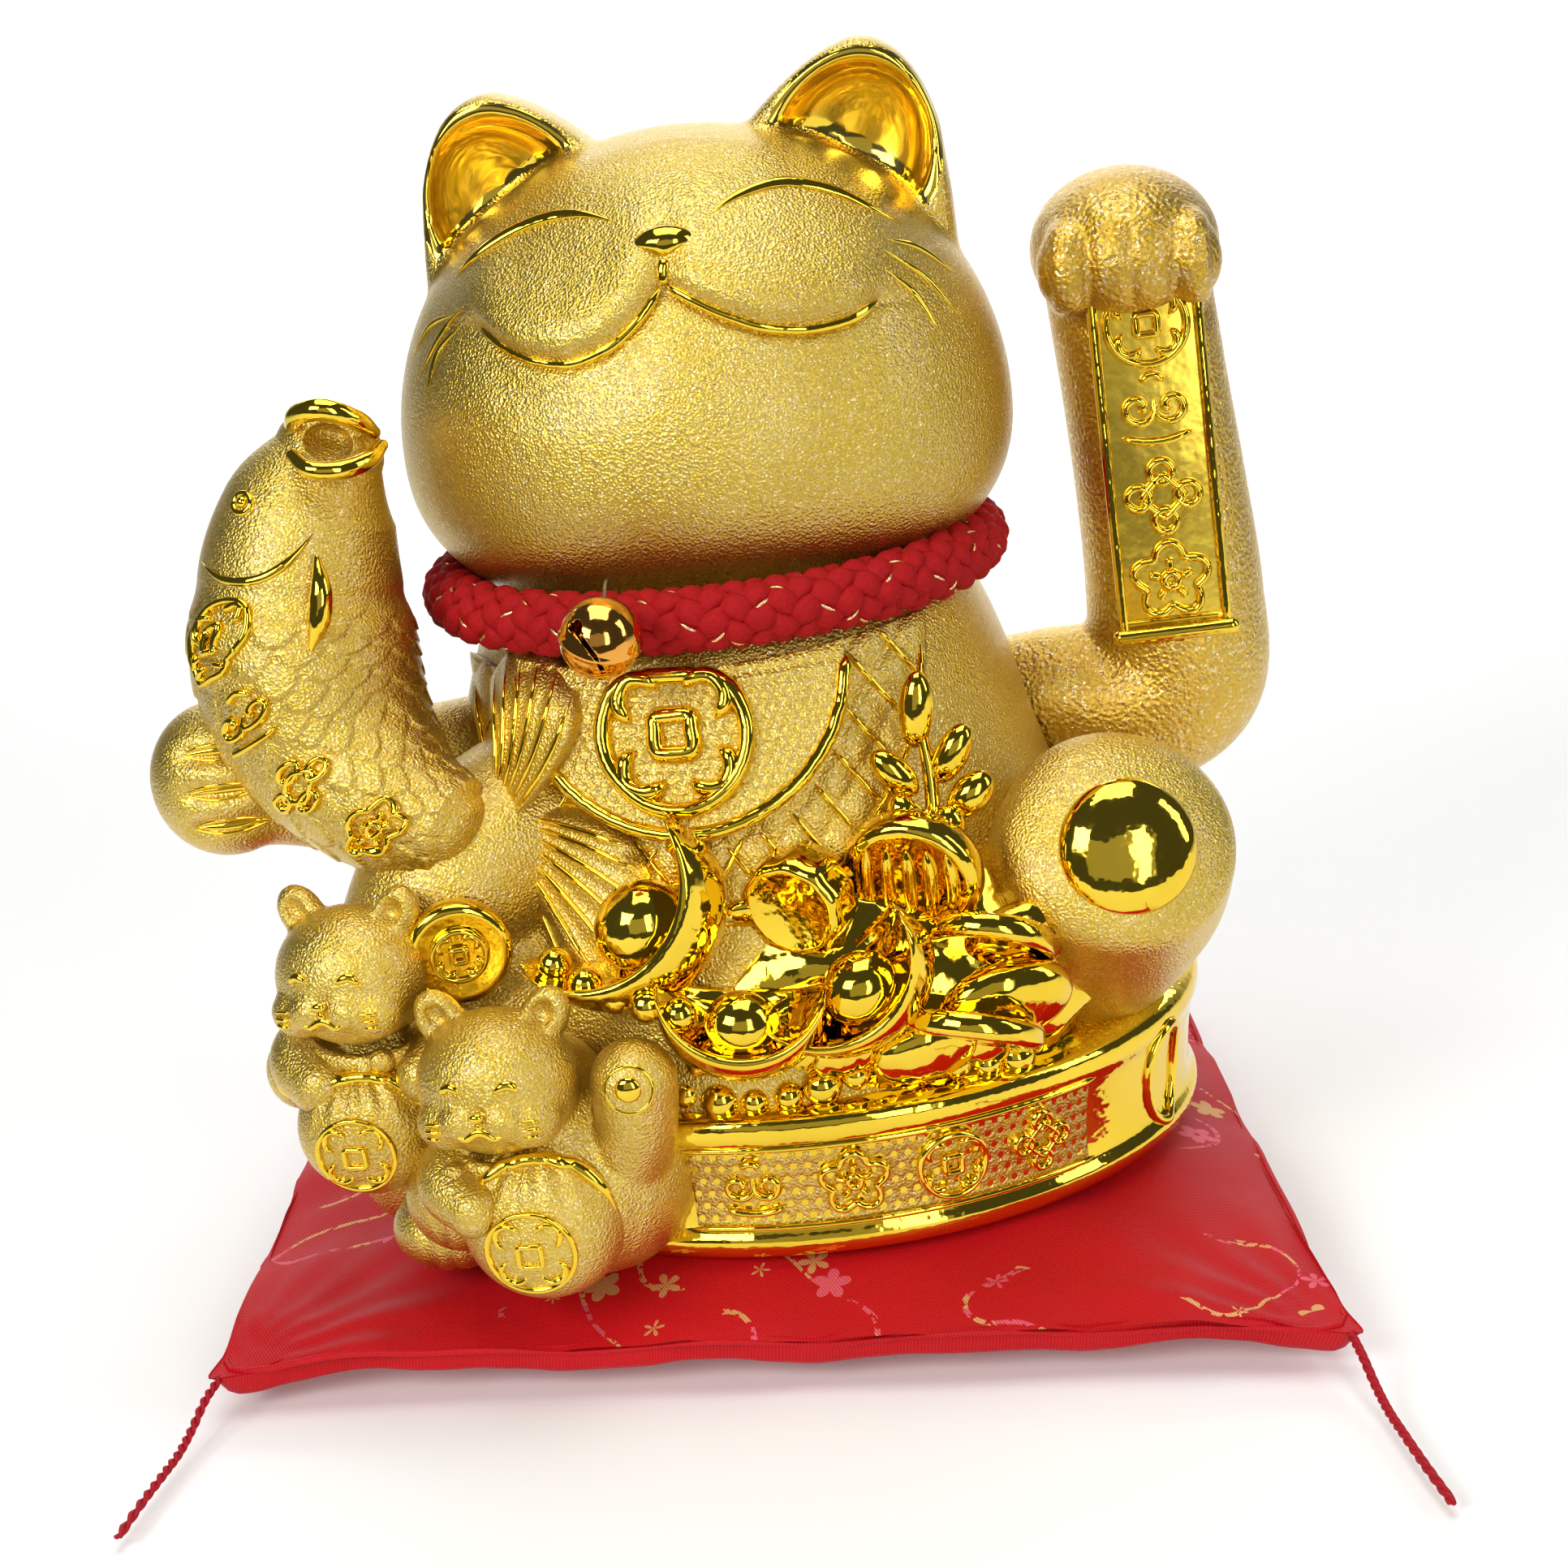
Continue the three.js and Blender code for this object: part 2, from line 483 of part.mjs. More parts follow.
function bracketShape() {
  const { x0, x1, y0, y1, thick, top } = BRACKET;
  const foot = box([x0, y0, FLOOR + GAP], [x1, y1, FLOOR + GAP + thick]);
  const uprights = [x0, x1 - thick].map((x) => box([x, y0 + 8, FLOOR + GAP], [x + thick, y1 - 8, top]));
  const pedestal = box([27, ARM_AXIS.y - 8, FLOOR + GAP], [43, ARM_AXIS.y + 8, COIL_LOW - GAP]);
  const bores = rod("x", [0, ARM_AXIS.y, ARM_AXIS.z], 6 + GAP, 70, 18);
  const screwHoles = [y0 + 4, y1 - 4].map((y) => rod("z", [x0 + 20, y, 0], 2.3, 60, 12));
  return cut(join(foot, pedestal, ...uprights), bores, ...screwHoles);
}
node("base_plate", cut(basePlate, packRoom, ...[6, 34].map((y) => rod("z", [34, y, 0], 1.9, 60, 12))),
  GREY_PLASTIC);
node("drive_bracket", bracketShape(), GREY_PLASTIC);
for (const [name, x] of [["inner_bush", BRACKET.x0], ["outer_bush", BRACKET.x1 - BRACKET.thick]])
  node(name, cut(
    rod("x", [x, ARM_AXIS.y, ARM_AXIS.z], 6, BRACKET.thick, 18),
    rod("x", [x - 1, ARM_AXIS.y, ARM_AXIS.z], SHAFT_R + GAP, BRACKET.thick + 2, 16),
  ), WHITE_PLASTIC);
for (const [name, y] of [["front_screw", 6], ["rear_screw", 34]])
  node(name, join(
    rod("z", [34, y, BASE_Z + 0.5], 1.5, FLOOR + GAP + BRACKET.thick - BASE_Z, 12),
    rod("z", [34, y, FLOOR + 2 * GAP + BRACKET.thick], 3.2, 2, 14),
  ), STEEL);

const COIL = { x: 35, y: ARM_AXIS.y, low: COIL_LOW, r: 13 };
const flange = (z) => rod("z", [COIL.x, COIL.y, z], COIL.r, 1.5, 16);
node("coil_bobbin", cut(
  join(flange(COIL.low), rod("z", [COIL.x, COIL.y, COIL.low], 5, 14, 12), flange(COIL.low + 12.5)),
  rod("z", [COIL.x, COIL.y, COIL.low - 1], 2.5, 20, 10),
), WHITE_PLASTIC);
node("coil_winding", cut(
  rod("z", [COIL.x, COIL.y, COIL.low + 1.5 + GAP], 11.5, 11 - 2 * GAP, 16),
  rod("z", [COIL.x, COIL.y, COIL.low], 5 + GAP, 20, 12),
), COPPER);
node("circuit_board", box([-20, 0, FLOOR + GAP], [8, 1.6, FLOOR + 30]), GREEN_BOARD);

// ---------------------------------------------------------------- battery pack in the back
function packShape() {
  const { halfWidth, front, back, low, high, wall, shelf } = PACK;
  const outside = box([-halfWidth, front, low], [halfWidth, back, high]);
  const cells = box([-halfWidth + wall, front + wall, low + wall], [halfWidth - wall, back + 1, shelf]);
  const chamber = box([-halfWidth + wall, front - 1, shelf + wall], [halfWidth - wall, back - wall, high - wall]);
  const slot = box([-7, back - wall - 1, 92], [7, back + 1, 96.4]);
  return cut(outside, cells, chamber, slot);
}
node("battery_case", packShape(), GREY_PLASTIC);
for (const side of [-1, 1])
  node(side < 0 ? "left_battery" : "right_battery",
    join(
      rod("z", [side * BATTERY.x, BATTERY.y, 31.4], BATTERY.r, BATTERY.length - 2, 18),
      rod("z", [side * BATTERY.x, BATTERY.y, 31], 3.2, BATTERY.length, 12),
    ), BATTERY_LABEL);
node("lower_contact", box([-28, 52, PACK.low + PACK.wall + GAP], [28, 74, 30.4]), STEEL);
node("upper_contact", box([-28, 52, 82], [28, 74, 82.8]), STEEL);

// The door tips out about its lower edge.
const DOOR = { halfWidth: PACK.halfWidth - PACK.wall - 0.6, low: 29, high: PACK.shelf - 0.6, thick: 2.4 };
node("battery_door", join(
  box([-DOOR.halfWidth, PACK.back - DOOR.thick, DOOR.low], [DOOR.halfWidth, PACK.back, DOOR.high]),
  box([-6, PACK.back - DOOR.thick, DOOR.high - 6], [6, PACK.back + 1.6, DOOR.high - 3]),
), GREY_PLASTIC);
node("power_switch", join(
  box([-5.5, PACK.back - 4.4, 91.2], [1.5, PACK.back - PACK.wall - GAP, 97.2]),
  box([-5, PACK.back - 4, 92.5], [1, PACK.back + 2, 95.9]),
), WHITE_PLASTIC);

// ---------------------------------------------------------------- cushion and corner cords
// A filled square of cloth: the seam is low at the corners, and the top is pressed flat by the cat.
function cushion() {
  const g = new THREE.SphereGeometry(1, 40, 9).rotateX(Math.PI / 2);
  const place = g.attributes.position;
  for (let i = 0; i < place.count; i++) {
    const [x, y, z] = [place.getX(i), place.getY(i), place.getZ(i)];
    const flatRadius = Math.hypot(x, y);
    const reach = flatRadius ** 0.55;
    const angle = Math.atan2(y, x);
    const square = 1 / Math.max(Math.abs(Math.cos(angle)), Math.abs(Math.sin(angle)));
    const [u, v] = [Math.cos(angle) * square * reach, Math.sin(angle) * square * reach];
    const weights = [(1 - u) * (1 - v), (1 + u) * (1 - v), (1 + u) * (1 + v), (1 - u) * (1 + v)];
    const [px, py] = [0, 1].map((axis) =>
      CUSHION_CORNERS.reduce((sum, corner, n) => sum + (corner[axis] * weights[n]) / 4, 0));
    const height = Math.abs(z) ** 0.8;
    const up = z > 0 ? (CUSHION_TOP - CUSHION_SEAM_Z) * height : -CUSHION_SEAM_Z * height;
    place.setXYZ(i, px, py, THREE.MathUtils.clamp(CUSHION_SEAM_Z + up * 1.15, 0, CUSHION_TOP));
  }
  return solid(g);
}
node("cushion", cushion(), RED_SATIN);

// Each cord leaves its corner, droops to the table and trails away over it.
const CORD_ROUTES = {
  front_left_cord: [[-132, -109.2, 7.6], [-134, -117, 6], [-135.6, -126, 3], [-136.8, -134, 1.5],
    [-138.2, -143, CORD_R + 0.1], [-139.8, -154, CORD_R + 0.1], [-141.4, -168.9, CORD_R + 0.1]],
  front_right_cord: [[138.2, -127, 7.6], [139.6, -135, 6], [141.2, -144, 3], [142.6, -152, 1.5],
    [144.4, -162, CORD_R + 0.1], [146.8, -175, CORD_R + 0.1], [149.9, -190, CORD_R + 0.1]],
};
for (const [name, route] of Object.entries(CORD_ROUTES)) {
  const section = new THREE.Shape().absarc(0, 0, CORD_R, 0, 2 * Math.PI);
  const g = new THREE.ExtrudeGeometry(section, {
    steps: 14, curveSegments: 4, bevelEnabled: false,
    extrudePath: new THREE.CatmullRomCurve3(route.map(([x, y, z]) => V(x, y, z))),
  });
  node(name, solid(g), RED_CORD);
}

export default figurine;
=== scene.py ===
import math

import bmesh
import bpy
import numpy as np
from mathutils import Matrix, Vector, noise
from mathutils.bvhtree import BVHTree


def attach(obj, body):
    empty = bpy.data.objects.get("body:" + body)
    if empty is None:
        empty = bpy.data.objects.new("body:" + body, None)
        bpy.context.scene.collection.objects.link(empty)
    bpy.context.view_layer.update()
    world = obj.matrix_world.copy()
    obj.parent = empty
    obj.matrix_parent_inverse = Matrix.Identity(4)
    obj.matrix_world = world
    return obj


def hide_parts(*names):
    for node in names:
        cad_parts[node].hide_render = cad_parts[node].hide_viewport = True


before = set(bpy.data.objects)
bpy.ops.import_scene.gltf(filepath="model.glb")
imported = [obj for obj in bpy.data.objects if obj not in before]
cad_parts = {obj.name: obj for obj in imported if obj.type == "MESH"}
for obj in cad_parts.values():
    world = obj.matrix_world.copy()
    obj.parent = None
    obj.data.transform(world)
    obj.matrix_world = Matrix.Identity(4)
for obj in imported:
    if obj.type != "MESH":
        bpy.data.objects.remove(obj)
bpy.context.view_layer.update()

# %% [markdown]
# # A beckoning cat on a satin cushion
# The figurine is a slip-cast, gold-plated cat. Its left arm swings on a shaft, and it holds a
# carp against its chest with the other one. Two kittens, a heap of treasure and a polished
# base band are part of the same casting. The imported CAD model gives each piece its place, and
# this lesson builds the surface of each piece over it.
# All lengths below are written in millimetres and turned to metres when a mesh is made.

# %% Units
MM = 0.001

# %% [markdown]
# ## Camera
# A figurine is shown from a little above and from not too near, so that its upright lines stay
# nearly parallel. A camera in Blender looks along its own -Z with +Y up. It is simplest to
# build its three axes from a yaw, a pitch and a roll, and to put them in one matrix.

# %% The camera
def camera_axes(yaw, pitch, roll):
    """Right, up and back axes of a camera that looks along +Y before it is turned."""
    c, s = math.cos, math.sin
    right = Vector((c(yaw), s(yaw), 0))
    up = Vector((-s(yaw) * s(pitch), c(yaw) * s(pitch), c(pitch)))
    turned_right = c(roll) * right - s(roll) * up
    turned_up = s(roll) * right + c(roll) * up
    return turned_right, turned_up, turned_right.cross(turned_up)


camera_data = bpy.data.cameras.new("front_camera")
camera_data.sensor_width = 36
camera_data.lens = 62.8
camera = bpy.data.objects.new("front_camera", camera_data)
bpy.context.scene.collection.objects.link(camera)
axes = camera_axes(math.radians(5), math.radians(16.53), math.radians(6.5))
camera.matrix_world = Matrix.Translation((0.0727, -0.6963, 0.320)) @ Matrix(axes).transposed().to_4x4()
bpy.context.scene.camera = camera
print("camera at", tuple(round(v, 3) for v in camera.location))

# %% [markdown]
# ## Mesh helpers
# Nearly every piece here is a *loft*: rows of points joined into a skin and closed at both ends.
# Turned shapes, balls, limbs, cords and raised lines are all lofts with different rows, so one
# helper makes them all. A shape is kept as a pair of points and faces until it is finished,
# because numpy moves a hundred thousand points faster than bpy can.

# %% Smooth lines and lofts
def spline(stations, shares):
    """Points at the given shares of a smooth line through the stations."""
    p = np.asarray(stations, float)
    last = len(p) - 1
    p = np.vstack([2 * p[0] - p[1], p, 2 * p[-1] - p[-2]])
    at = np.clip(np.asarray(shares, float), 0, 1) * last
    i = np.minimum(at.astype(int), last - 1)
    w = (at - i)[:, None]
    a, b, c, d = (p[i + k] for k in range(4))
    ab, bc, cd = (np.maximum(np.sqrt(np.linalg.norm(v - u, axis=1, keepdims=True)), 1e-4)
                  for u, v in ((a, b), (b, c), (c, d)))
    leave = ((b - a) / ab - (c - a) / (ab + bc) + (c - b) / bc) * bc
    reach = ((c - b) / bc - (d - b) / (bc + cd) + (d - c) / cd) * bc
    return b + leave * w + (3 * (c - b) - 2 * leave - reach) * w**2 + (2 * (b - c) + leave + reach) * w**3


def loft(rows, start=None, end=None, ring=False):
    """A closed skin over rows of points, with a pole at each end, or joined into a ring."""
    rows = np.asarray(rows, float)
    count, sides = rows.shape[:2]
    index = np.arange(count * sides).reshape(count, sides)
    following = np.vstack([index, index[:1]]) if ring else index
    a, b = following[:-1], following[1:]
    quads = np.stack([a, np.roll(a, -1, 1), np.roll(b, -1, 1), b], -1).reshape(-1, 4)
    faces = quads.tolist()
    points = rows.reshape(-1, 3)
    if not ring:
        poles = [rows[0].mean(0) if start is None else start, rows[-1].mean(0) if end is None else end]
        points = np.vstack([points, poles])
        first, last = len(points) - 2, len(points) - 1
        faces += [[index[0, (k + 1) % sides], index[0, k], first] for k in range(sides)]
        faces += [[index[-1, k], index[-1, (k + 1) % sides], last] for k in range(sides)]
    return points, faces


def three_turn(turn, order="XYZ"):
    """A rotation matrix from three angles; the last axis in the order turns first."""
    result = Matrix.Identity(3)
    for axis in order:
        result = result @ Matrix.Rotation(turn["XYZ".index(axis)], 3, axis)
    return np.array(result)


def placed(shape, at=(0, 0, 0), turn=(0, 0, 0), order="XYZ"):
    """The shape turned about the origin and then carried to a place."""
    points, faces = shape
    return points @ three_turn(turn, order).T + np.asarray(at, float), faces


def ball(at, radii, turn=(0, 0, 0), sides=40):
    """An ellipsoid."""
    up = np.linspace(-math.pi / 2, math.pi / 2, sides // 2 + 1)[1:-1]
    around = np.linspace(0, 2 * math.pi, sides, endpoint=False)
    rows = np.stack([np.outer(np.cos(up), np.cos(around)), np.outer(np.cos(up), np.sin(around)),
                     np.outer(np.sin(up), np.ones(sides))], -1)
    points, faces = loft(rows, (0, 0, -1), (0, 0, 1))
    return placed((points * np.asarray(radii, float), faces), at, turn)


def turned(profile, sides=64, ring=False):
    """A shape turned about Z from points of radius and height."""
    around = np.linspace(0, 2 * math.pi, sides, endpoint=False)
    rows = [[(r * math.cos(a), r * math.sin(a), z) for a in around] for r, z in profile]
    return loft(rows, (0, 0, profile[0][1]), (0, 0, profile[-1][1]), ring)


def limb(stations, sides=48, rings=48, caps=(1, 1), aside=(0, 1, 0), relief=None):
    """A round tube of changing radius with rounded ends. Each station is x, y, z, radius.
    relief is a function of share and angle that gives a height in mm along the radius."""
    s = np.asarray(stations, float)
    u = np.concatenate([np.linspace(-1, 0, 9)[1:-1], np.linspace(0, 1, rings), np.linspace(1, 2, 9)[1:-1]])
    along = np.clip(u, 0, 1)
    over = ((u - along) * math.pi / 2)[:, None]
    centre = spline(s[:, :3], along)
    tangent = spline(s[:, :3], np.minimum(along + 1e-4, 1)) - spline(s[:, :3], np.maximum(along - 1e-4, 0))
    tangent /= np.linalg.norm(tangent, axis=1, keepdims=True)
    across = np.cross(aside, tangent)
    across /= np.linalg.norm(across, axis=1, keepdims=True)
    out = np.cross(across, tangent)
    r = spline(np.column_stack([np.arange(len(s)), s[:, 3]]), along)[:, 1:]
    bulge = np.where(over < 0, caps[0], caps[1])
    middle = centre + tangent * np.sin(over) * r * bulge
    angle = np.linspace(0, 2 * math.pi, sides, endpoint=False)
    wide = (r * np.cos(over))[:, :, None] * np.ones((1, sides, 1))
    if relief is not None:
        wide = wide + relief(u[:, None], angle[None, :])[:, :, None] * np.cos(over)[:, :, None]
    ringed = (across[:, None] * np.sin(angle)[None, :, None] + out[:, None] * np.cos(angle)[None, :, None])
    rows = middle[:, None] + ringed * wide
    start, end = (centre[k] + side * tangent[k] * r[k] * cap for k, side, cap in
                  ((0, -1, caps[0]), (-1, 1, caps[1])))
    return loft(rows, start, end)


print("a ball of 40 sides has", len(ball((0, 0, 0), (1, 1, 1))[0]), "points")

# %% [markdown]
# Clay has no sharp inner corners. Where a paw is joined to a body, the potter smooths the slip
# into the joint with a brush. A voxel remesh followed by a few rounds of smoothing does the same
# thing: it melts overlapping closed shapes into one skin with soft joints. A boolean does the
# opposite job and leaves the crisp edge of a moulded opening.

# %% From shape to object and back
def joined(shapes):
    """Several shapes as one list of points and one list of faces."""
    points, faces, start = [], [], 0
    for shape_points, shape_faces in shapes:
        points.append(shape_points)
        faces += [[start + int(i) for i in face] for face in shape_faces]
        start += len(shape_points)
    return np.vstack(points), faces


def mesh_object(name, shapes):
    """One mesh object from one or more shapes given in mm."""
    points, faces = joined(shapes)
    mesh = bpy.data.meshes.new(name)
    mesh.from_pydata((points * MM).tolist(), [], faces)
    editable = bmesh.new()
    editable.from_mesh(mesh)
    bmesh.ops.recalc_face_normals(editable, faces=editable.faces)
    editable.to_mesh(mesh)
    editable.free()
    obj = bpy.data.objects.new(name, mesh)
    bpy.context.scene.collection.objects.link(obj)
    return obj


def read_mesh(mesh):
    """Points in mm, and faces, of a Blender mesh."""
    points = np.empty(len(mesh.vertices) * 3)
    mesh.vertices.foreach_get("co", points)
    return points.reshape(-1, 3) / MM, [list(p.vertices) for p in mesh.polygons]


def settled(obj, extra=()):
    """The shape of an object after its modifiers; the object and its helpers are removed."""
    evaluated = obj.evaluated_get(bpy.context.evaluated_depsgraph_get())
    shape = read_mesh(evaluated.to_mesh())
    for old in (obj, *extra):
        bpy.data.objects.remove(old)
    return shape


def fused(shapes, voxel=1.1, rounds=8):
    """Overlapping closed shapes melted into one soft skin."""
    work = mesh_object("work", shapes)
    remesh = work.modifiers.new("Voxels", "REMESH")
    remesh.mode = "VOXEL"
    remesh.voxel_size = voxel * MM
    soften = work.modifiers.new("Soften", "SMOOTH")
    soften.factor = 0.5
    soften.iterations = rounds
    return settled(work)


def carved(shape, tools):
    """A shape with other closed shapes cut away."""
    work = mesh_object("work", [shape])
    cutters = [mesh_object("cutter", [tool]) for tool in tools]
    for cutter in cutters:
        cut = work.modifiers.new("Cut", "BOOLEAN")
        cut.operation = "DIFFERENCE"
        cut.solver = "EXACT"
        cut.object = cutter
    return settled(work, cutters)


def block(low, high):
    """A plain box between two corners, used as a cutter or as the core of a bevelled plate."""
    (x0, y0, z0), (x1, y1, z1) = low, high
    rows = [[(x0, y0, z), (x1, y0, z), (x1, y1, z), (x0, y1, z)] for z in (z0, z1)]
    points = np.array(rows, float).reshape(-1, 3)
    sides = [[k, (k + 1) % 4, (k + 1) % 4 + 4, k + 4] for k in range(4)]
    return points, sides + [[3, 2, 1, 0], [4, 5, 6, 7]]


def rounded(shape, width):
    """A shape whose edges are rounded off."""
    work = mesh_object("work", [shape])
    bevel = work.modifiers.new("Round", "BEVEL")
    bevel.width = width * MM
    bevel.segments = 4
    bevel.limit_method = "ANGLE"
    return settled(work)


def normals_of(shape):
    """The outward direction at each point."""
    work = mesh_object("work", [shape])
    normals = np.empty(len(shape[0]) * 3)
    work.data.vertices.foreach_get("normal", normals)
    bpy.data.objects.remove(work)
    return normals.reshape(-1, 3)


def swell(shape, height):
    """The shape with each point moved outwards by height(points) mm."""
    points, faces = shape
    return points + normals_of(shape) * height(points)[:, None], faces


def piece(name, shapes, material, body="figurine", stands_for=()):
    """A finished piece: it rides a body, takes a finish and stands for CAD nodes."""
    obj = mesh_object(name, shapes)
    obj.data.polygons.foreach_set("use_smooth", [True] * len(obj.data.polygons))
    obj.data.materials.append(material)
    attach(obj, body)
    if stands_for:
        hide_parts(*stands_for)
    print(name, len(obj.data.polygons), "faces")
    return obj


print("a block has", len(block((0, 0, 0), (1, 1, 1))[1]), "faces")


# %% [markdown]
# Most of the ornament on this cat is a *raised line*: a thin roll of clay pressed on to the
# surface and gilded. The helper below takes a route, drops it on to a surface with a ray or to
# the nearest point, and lofts a flattened tube along it that thins towards its ends.

# %% Raised lines on a surface
FRONT_FAR = -400  # a ray towards +Y starts this far in front


class Surface:
    """A shape that routes can be dropped on to."""

    def __init__(self, *shapes):
        points, faces = joined(shapes)
        self.tree = BVHTree.FromPolygons(points.tolist(), faces)

    def drop(self, route):
        """Places and outward normals: (x, z) points go along +Y, (x, y, z) ones to the nearest spot."""
        places, normals = [], []
        for p in route:
            if len(p) == 2:
                place, normal = self.tree.ray_cast(Vector((p[0], FRONT_FAR, p[1])), Vector((0, 1, 0)))[:2]
            else:
                place, normal = self.tree.find_nearest(Vector(p))[:2]
            if place is None:
                continue
            places.append(place)
            normals.append(normal)
        return np.array(places), np.array(normals)


def bead(places, normals, width, height, taper=0.35, closed=False, sides=10):
    """A flattened tube along places; width and height are half sizes, and taper is the share of
    the length over which each end thins out."""
    places, normals = np.asarray(places, float), np.asarray(normals, float)
    count = len(places)
    if closed:
        tangent = np.roll(places, -1, 0) - np.roll(places, 1, 0)
        shrink = np.ones(count)
    else:
        tangent = np.gradient(places, axis=0)
        share = np.linspace(0, 1, count)
        shrink = np.sin(np.clip(np.minimum(share, 1 - share) / max(taper, 1e-3), 0, 1) * math.pi / 2)
        shrink = np.maximum(shrink, 0.12)
    tangent /= np.maximum(np.linalg.norm(tangent, axis=1, keepdims=True), 1e-9)
    side = np.cross(normals, tangent)
    side /= np.maximum(np.linalg.norm(side, axis=1, keepdims=True), 1e-9)
    angle = np.linspace(0, 2 * math.pi, sides, endpoint=False)
    size = shrink[:, None, None]
    rows = (places[:, None] + side[:, None] * (np.cos(angle)[None, :, None] * width * size)
            + normals[:, None] * (np.sin(angle)[None, :, None] * height * size))
    return loft(rows, ring=closed)


def smoothed(values, rounds=2, closed=False):
    """Positions or normals with their small jumps taken out."""
    for _ in range(rounds):
        before, after = np.roll(values, 1, 0), np.roll(values, -1, 0)
        if not closed:
            before[0], after[-1] = values[0], values[-1]
        values = (before + 2 * values + after) / 4
    return values


def ridge(surface, route, width=0.8, height=0.7, taper=0.35, steps=None, closed=False, lift=0.0):
    """A raised line along a smooth route on a surface."""
    route = np.asarray(route, float)
    if closed:
        route = np.vstack([route, route[:1]])
    length = np.linalg.norm(np.diff(route, axis=0), axis=1).sum()
    steps = steps or int(np.clip(length * 1.2, 8, 240))
    shares = np.linspace(0, 1, steps, endpoint=not closed)
    places, normals = surface.drop(spline(route, shares))
    normals = smoothed(normals, 3, closed)
    normals /= np.linalg.norm(normals, axis=1, keepdims=True)
    return bead(smoothed(places, 2, closed) + normals * lift, normals, width, height, taper, closed)


test_line = ridge(Surface(ball((0, 0, 0), (10, 10, 10))), [(-5, 0), (0, 3), (5, 0)])
print("a raised line has", len(test_line[0]), "points")

# %% [markdown]
# ## Ornaments
# The cast has small raised signs of good luck on the arm, the carp, the chest and the base. The
# ones made here are plain ornaments: a coin with a square hole, a curled cloud, a knot and a
# blossom. Each is a set of lines in a square from -1 to 1, so that it can be used at any size.

# %% Ornament lines
def circle(r, steps=28, at=(0, 0), start=0.0, sweep=2 * math.pi):
    """Points on a circle, or on an arc of it."""
    full = abs(sweep) > 6.28
    angles = start + np.linspace(0, sweep, steps, endpoint=not full)
    return np.column_stack([at[0] + r * np.cos(angles), at[1] + r * np.sin(angles)])


def square(r):
    """Points round a square, close enough together to keep its corners."""
    corners = np.array([(-r, -r), (r, -r), (r, r), (-r, r)], float)
    return np.vstack([np.linspace(corners[k], corners[(k + 1) % 4], 5, endpoint=False) for k in range(4)])


def curl(at, size, side):
    """A spiral that opens outwards."""
    t = np.linspace(0, 1, 22)
    angle = side * t * 1.35 * 2 * math.pi - math.pi / 2
    return np.column_stack([at[0] + size * (0.15 + 0.85 * t) * np.cos(angle),
                            at[1] + size * (0.15 + 0.85 * t) * np.sin(angle)])


def ornament(kind):
    """Lines of one ornament as (points, closed) pairs."""
    if kind == "coin":
        petals = [circle(0.3, 12, (0.62 * math.cos(a), 0.62 * math.sin(a)), a - 2.0, 4.0)
                  for a in np.arange(4) * math.pi / 2 + math.pi / 4]
        return [(circle(1.0), True), (square(0.26), True)] + [(p, False) for p in petals]
    if kind == "cloud":
        return [(curl((-0.42, 0.1), 0.5, 1), False), (curl((0.42, 0.1), 0.5, -1), False),
                (np.array([(-0.95, -0.55), (-0.4, -0.75), (0.4, -0.75), (0.95, -0.55)]), False),
                (circle(0.28, 10, (0, 0.62), 0.2, 2.7), False)]
    if kind == "knot":
        loops = [circle(0.3, 14, (0.62 * x, 0.62 * y)) for x, y in ((1, 0), (0, 1), (-1, 0), (0, -1))]
        return [(square(0.42) @ np.array([[0.7, 0.7], [-0.7, 0.7]]), True)] + [(p, True) for p in loops]
    angle = np.linspace(0, 2 * math.pi, 50, endpoint=False)
    r = 0.62 + 0.36 * np.abs(np.cos(2.5 * angle))
    flower = np.column_stack([r * np.sin(angle), r * np.cos(angle)])
    spokes = [np.array([(0.25 * math.sin(a), 0.25 * math.cos(a)), (0.6 * math.sin(a), 0.6 * math.cos(a))])
              for a in np.arange(5) * 2 * math.pi / 5]
    return [(flower, True), (circle(0.2, 12), True)] + [(p, False) for p in spokes]


def inlay(surface, kind, at, size, width=0.75, height=0.8, spin=0.0, reach=None):
    """An ornament laid on a surface. at is (x, z), or (x, y, z) with reach as its two axes."""
    c, s = math.cos(spin), math.sin(spin)
    made = []
    for points, closed in ornament(kind):
        flat = points @ np.array([[c, s], [-s, c]]) * size
        if reach is None:
            route = flat + np.asarray(at)
        else:
            route = np.asarray(at) + flat[:, :1] * np.asarray(reach[0]) + flat[:, 1:] * np.asarray(reach[1])
        made.append(ridge(surface, route, width, height, 0.2, closed=closed,
                          steps=max(10, int(len(points) * 1.5)), lift=0.1))
    return made


print("the knot has", len(ornament("knot")), "lines")

# %% [markdown]
# ## Finishes
# The real figurine has two golds from the same bath. Where the mould was blasted with sand, the
# plating lies over a fine grain and scatters the light; where the clay was left smooth, it is a
# mirror. Both are metal, so both need full Metallic, and only the grain and the roughness differ.
# Effects that several finishes share are node groups: grain, uneven tone, and woven cloth.

# %% Helpers for node trees
def add(tree, kind, inputs=None, **settings):
    """A shader node with its settings; an input takes a number or another node's output."""
    made = tree.nodes.new("ShaderNode" + kind)
    for key, value in settings.items():
        setattr(made, key, value)
    for key, value in (inputs or {}).items():
        if isinstance(value, bpy.types.NodeSocket):
            tree.links.new(value, made.inputs[key])
        else:
            made.inputs[key].default_value = value
    return made


def maths(tree, operation, a, b=0.0, clamp=False):
    """The result of one sum."""
    return add(tree, "Math", {0: a, 1: b}, operation=operation, use_clamp=clamp).outputs[0]


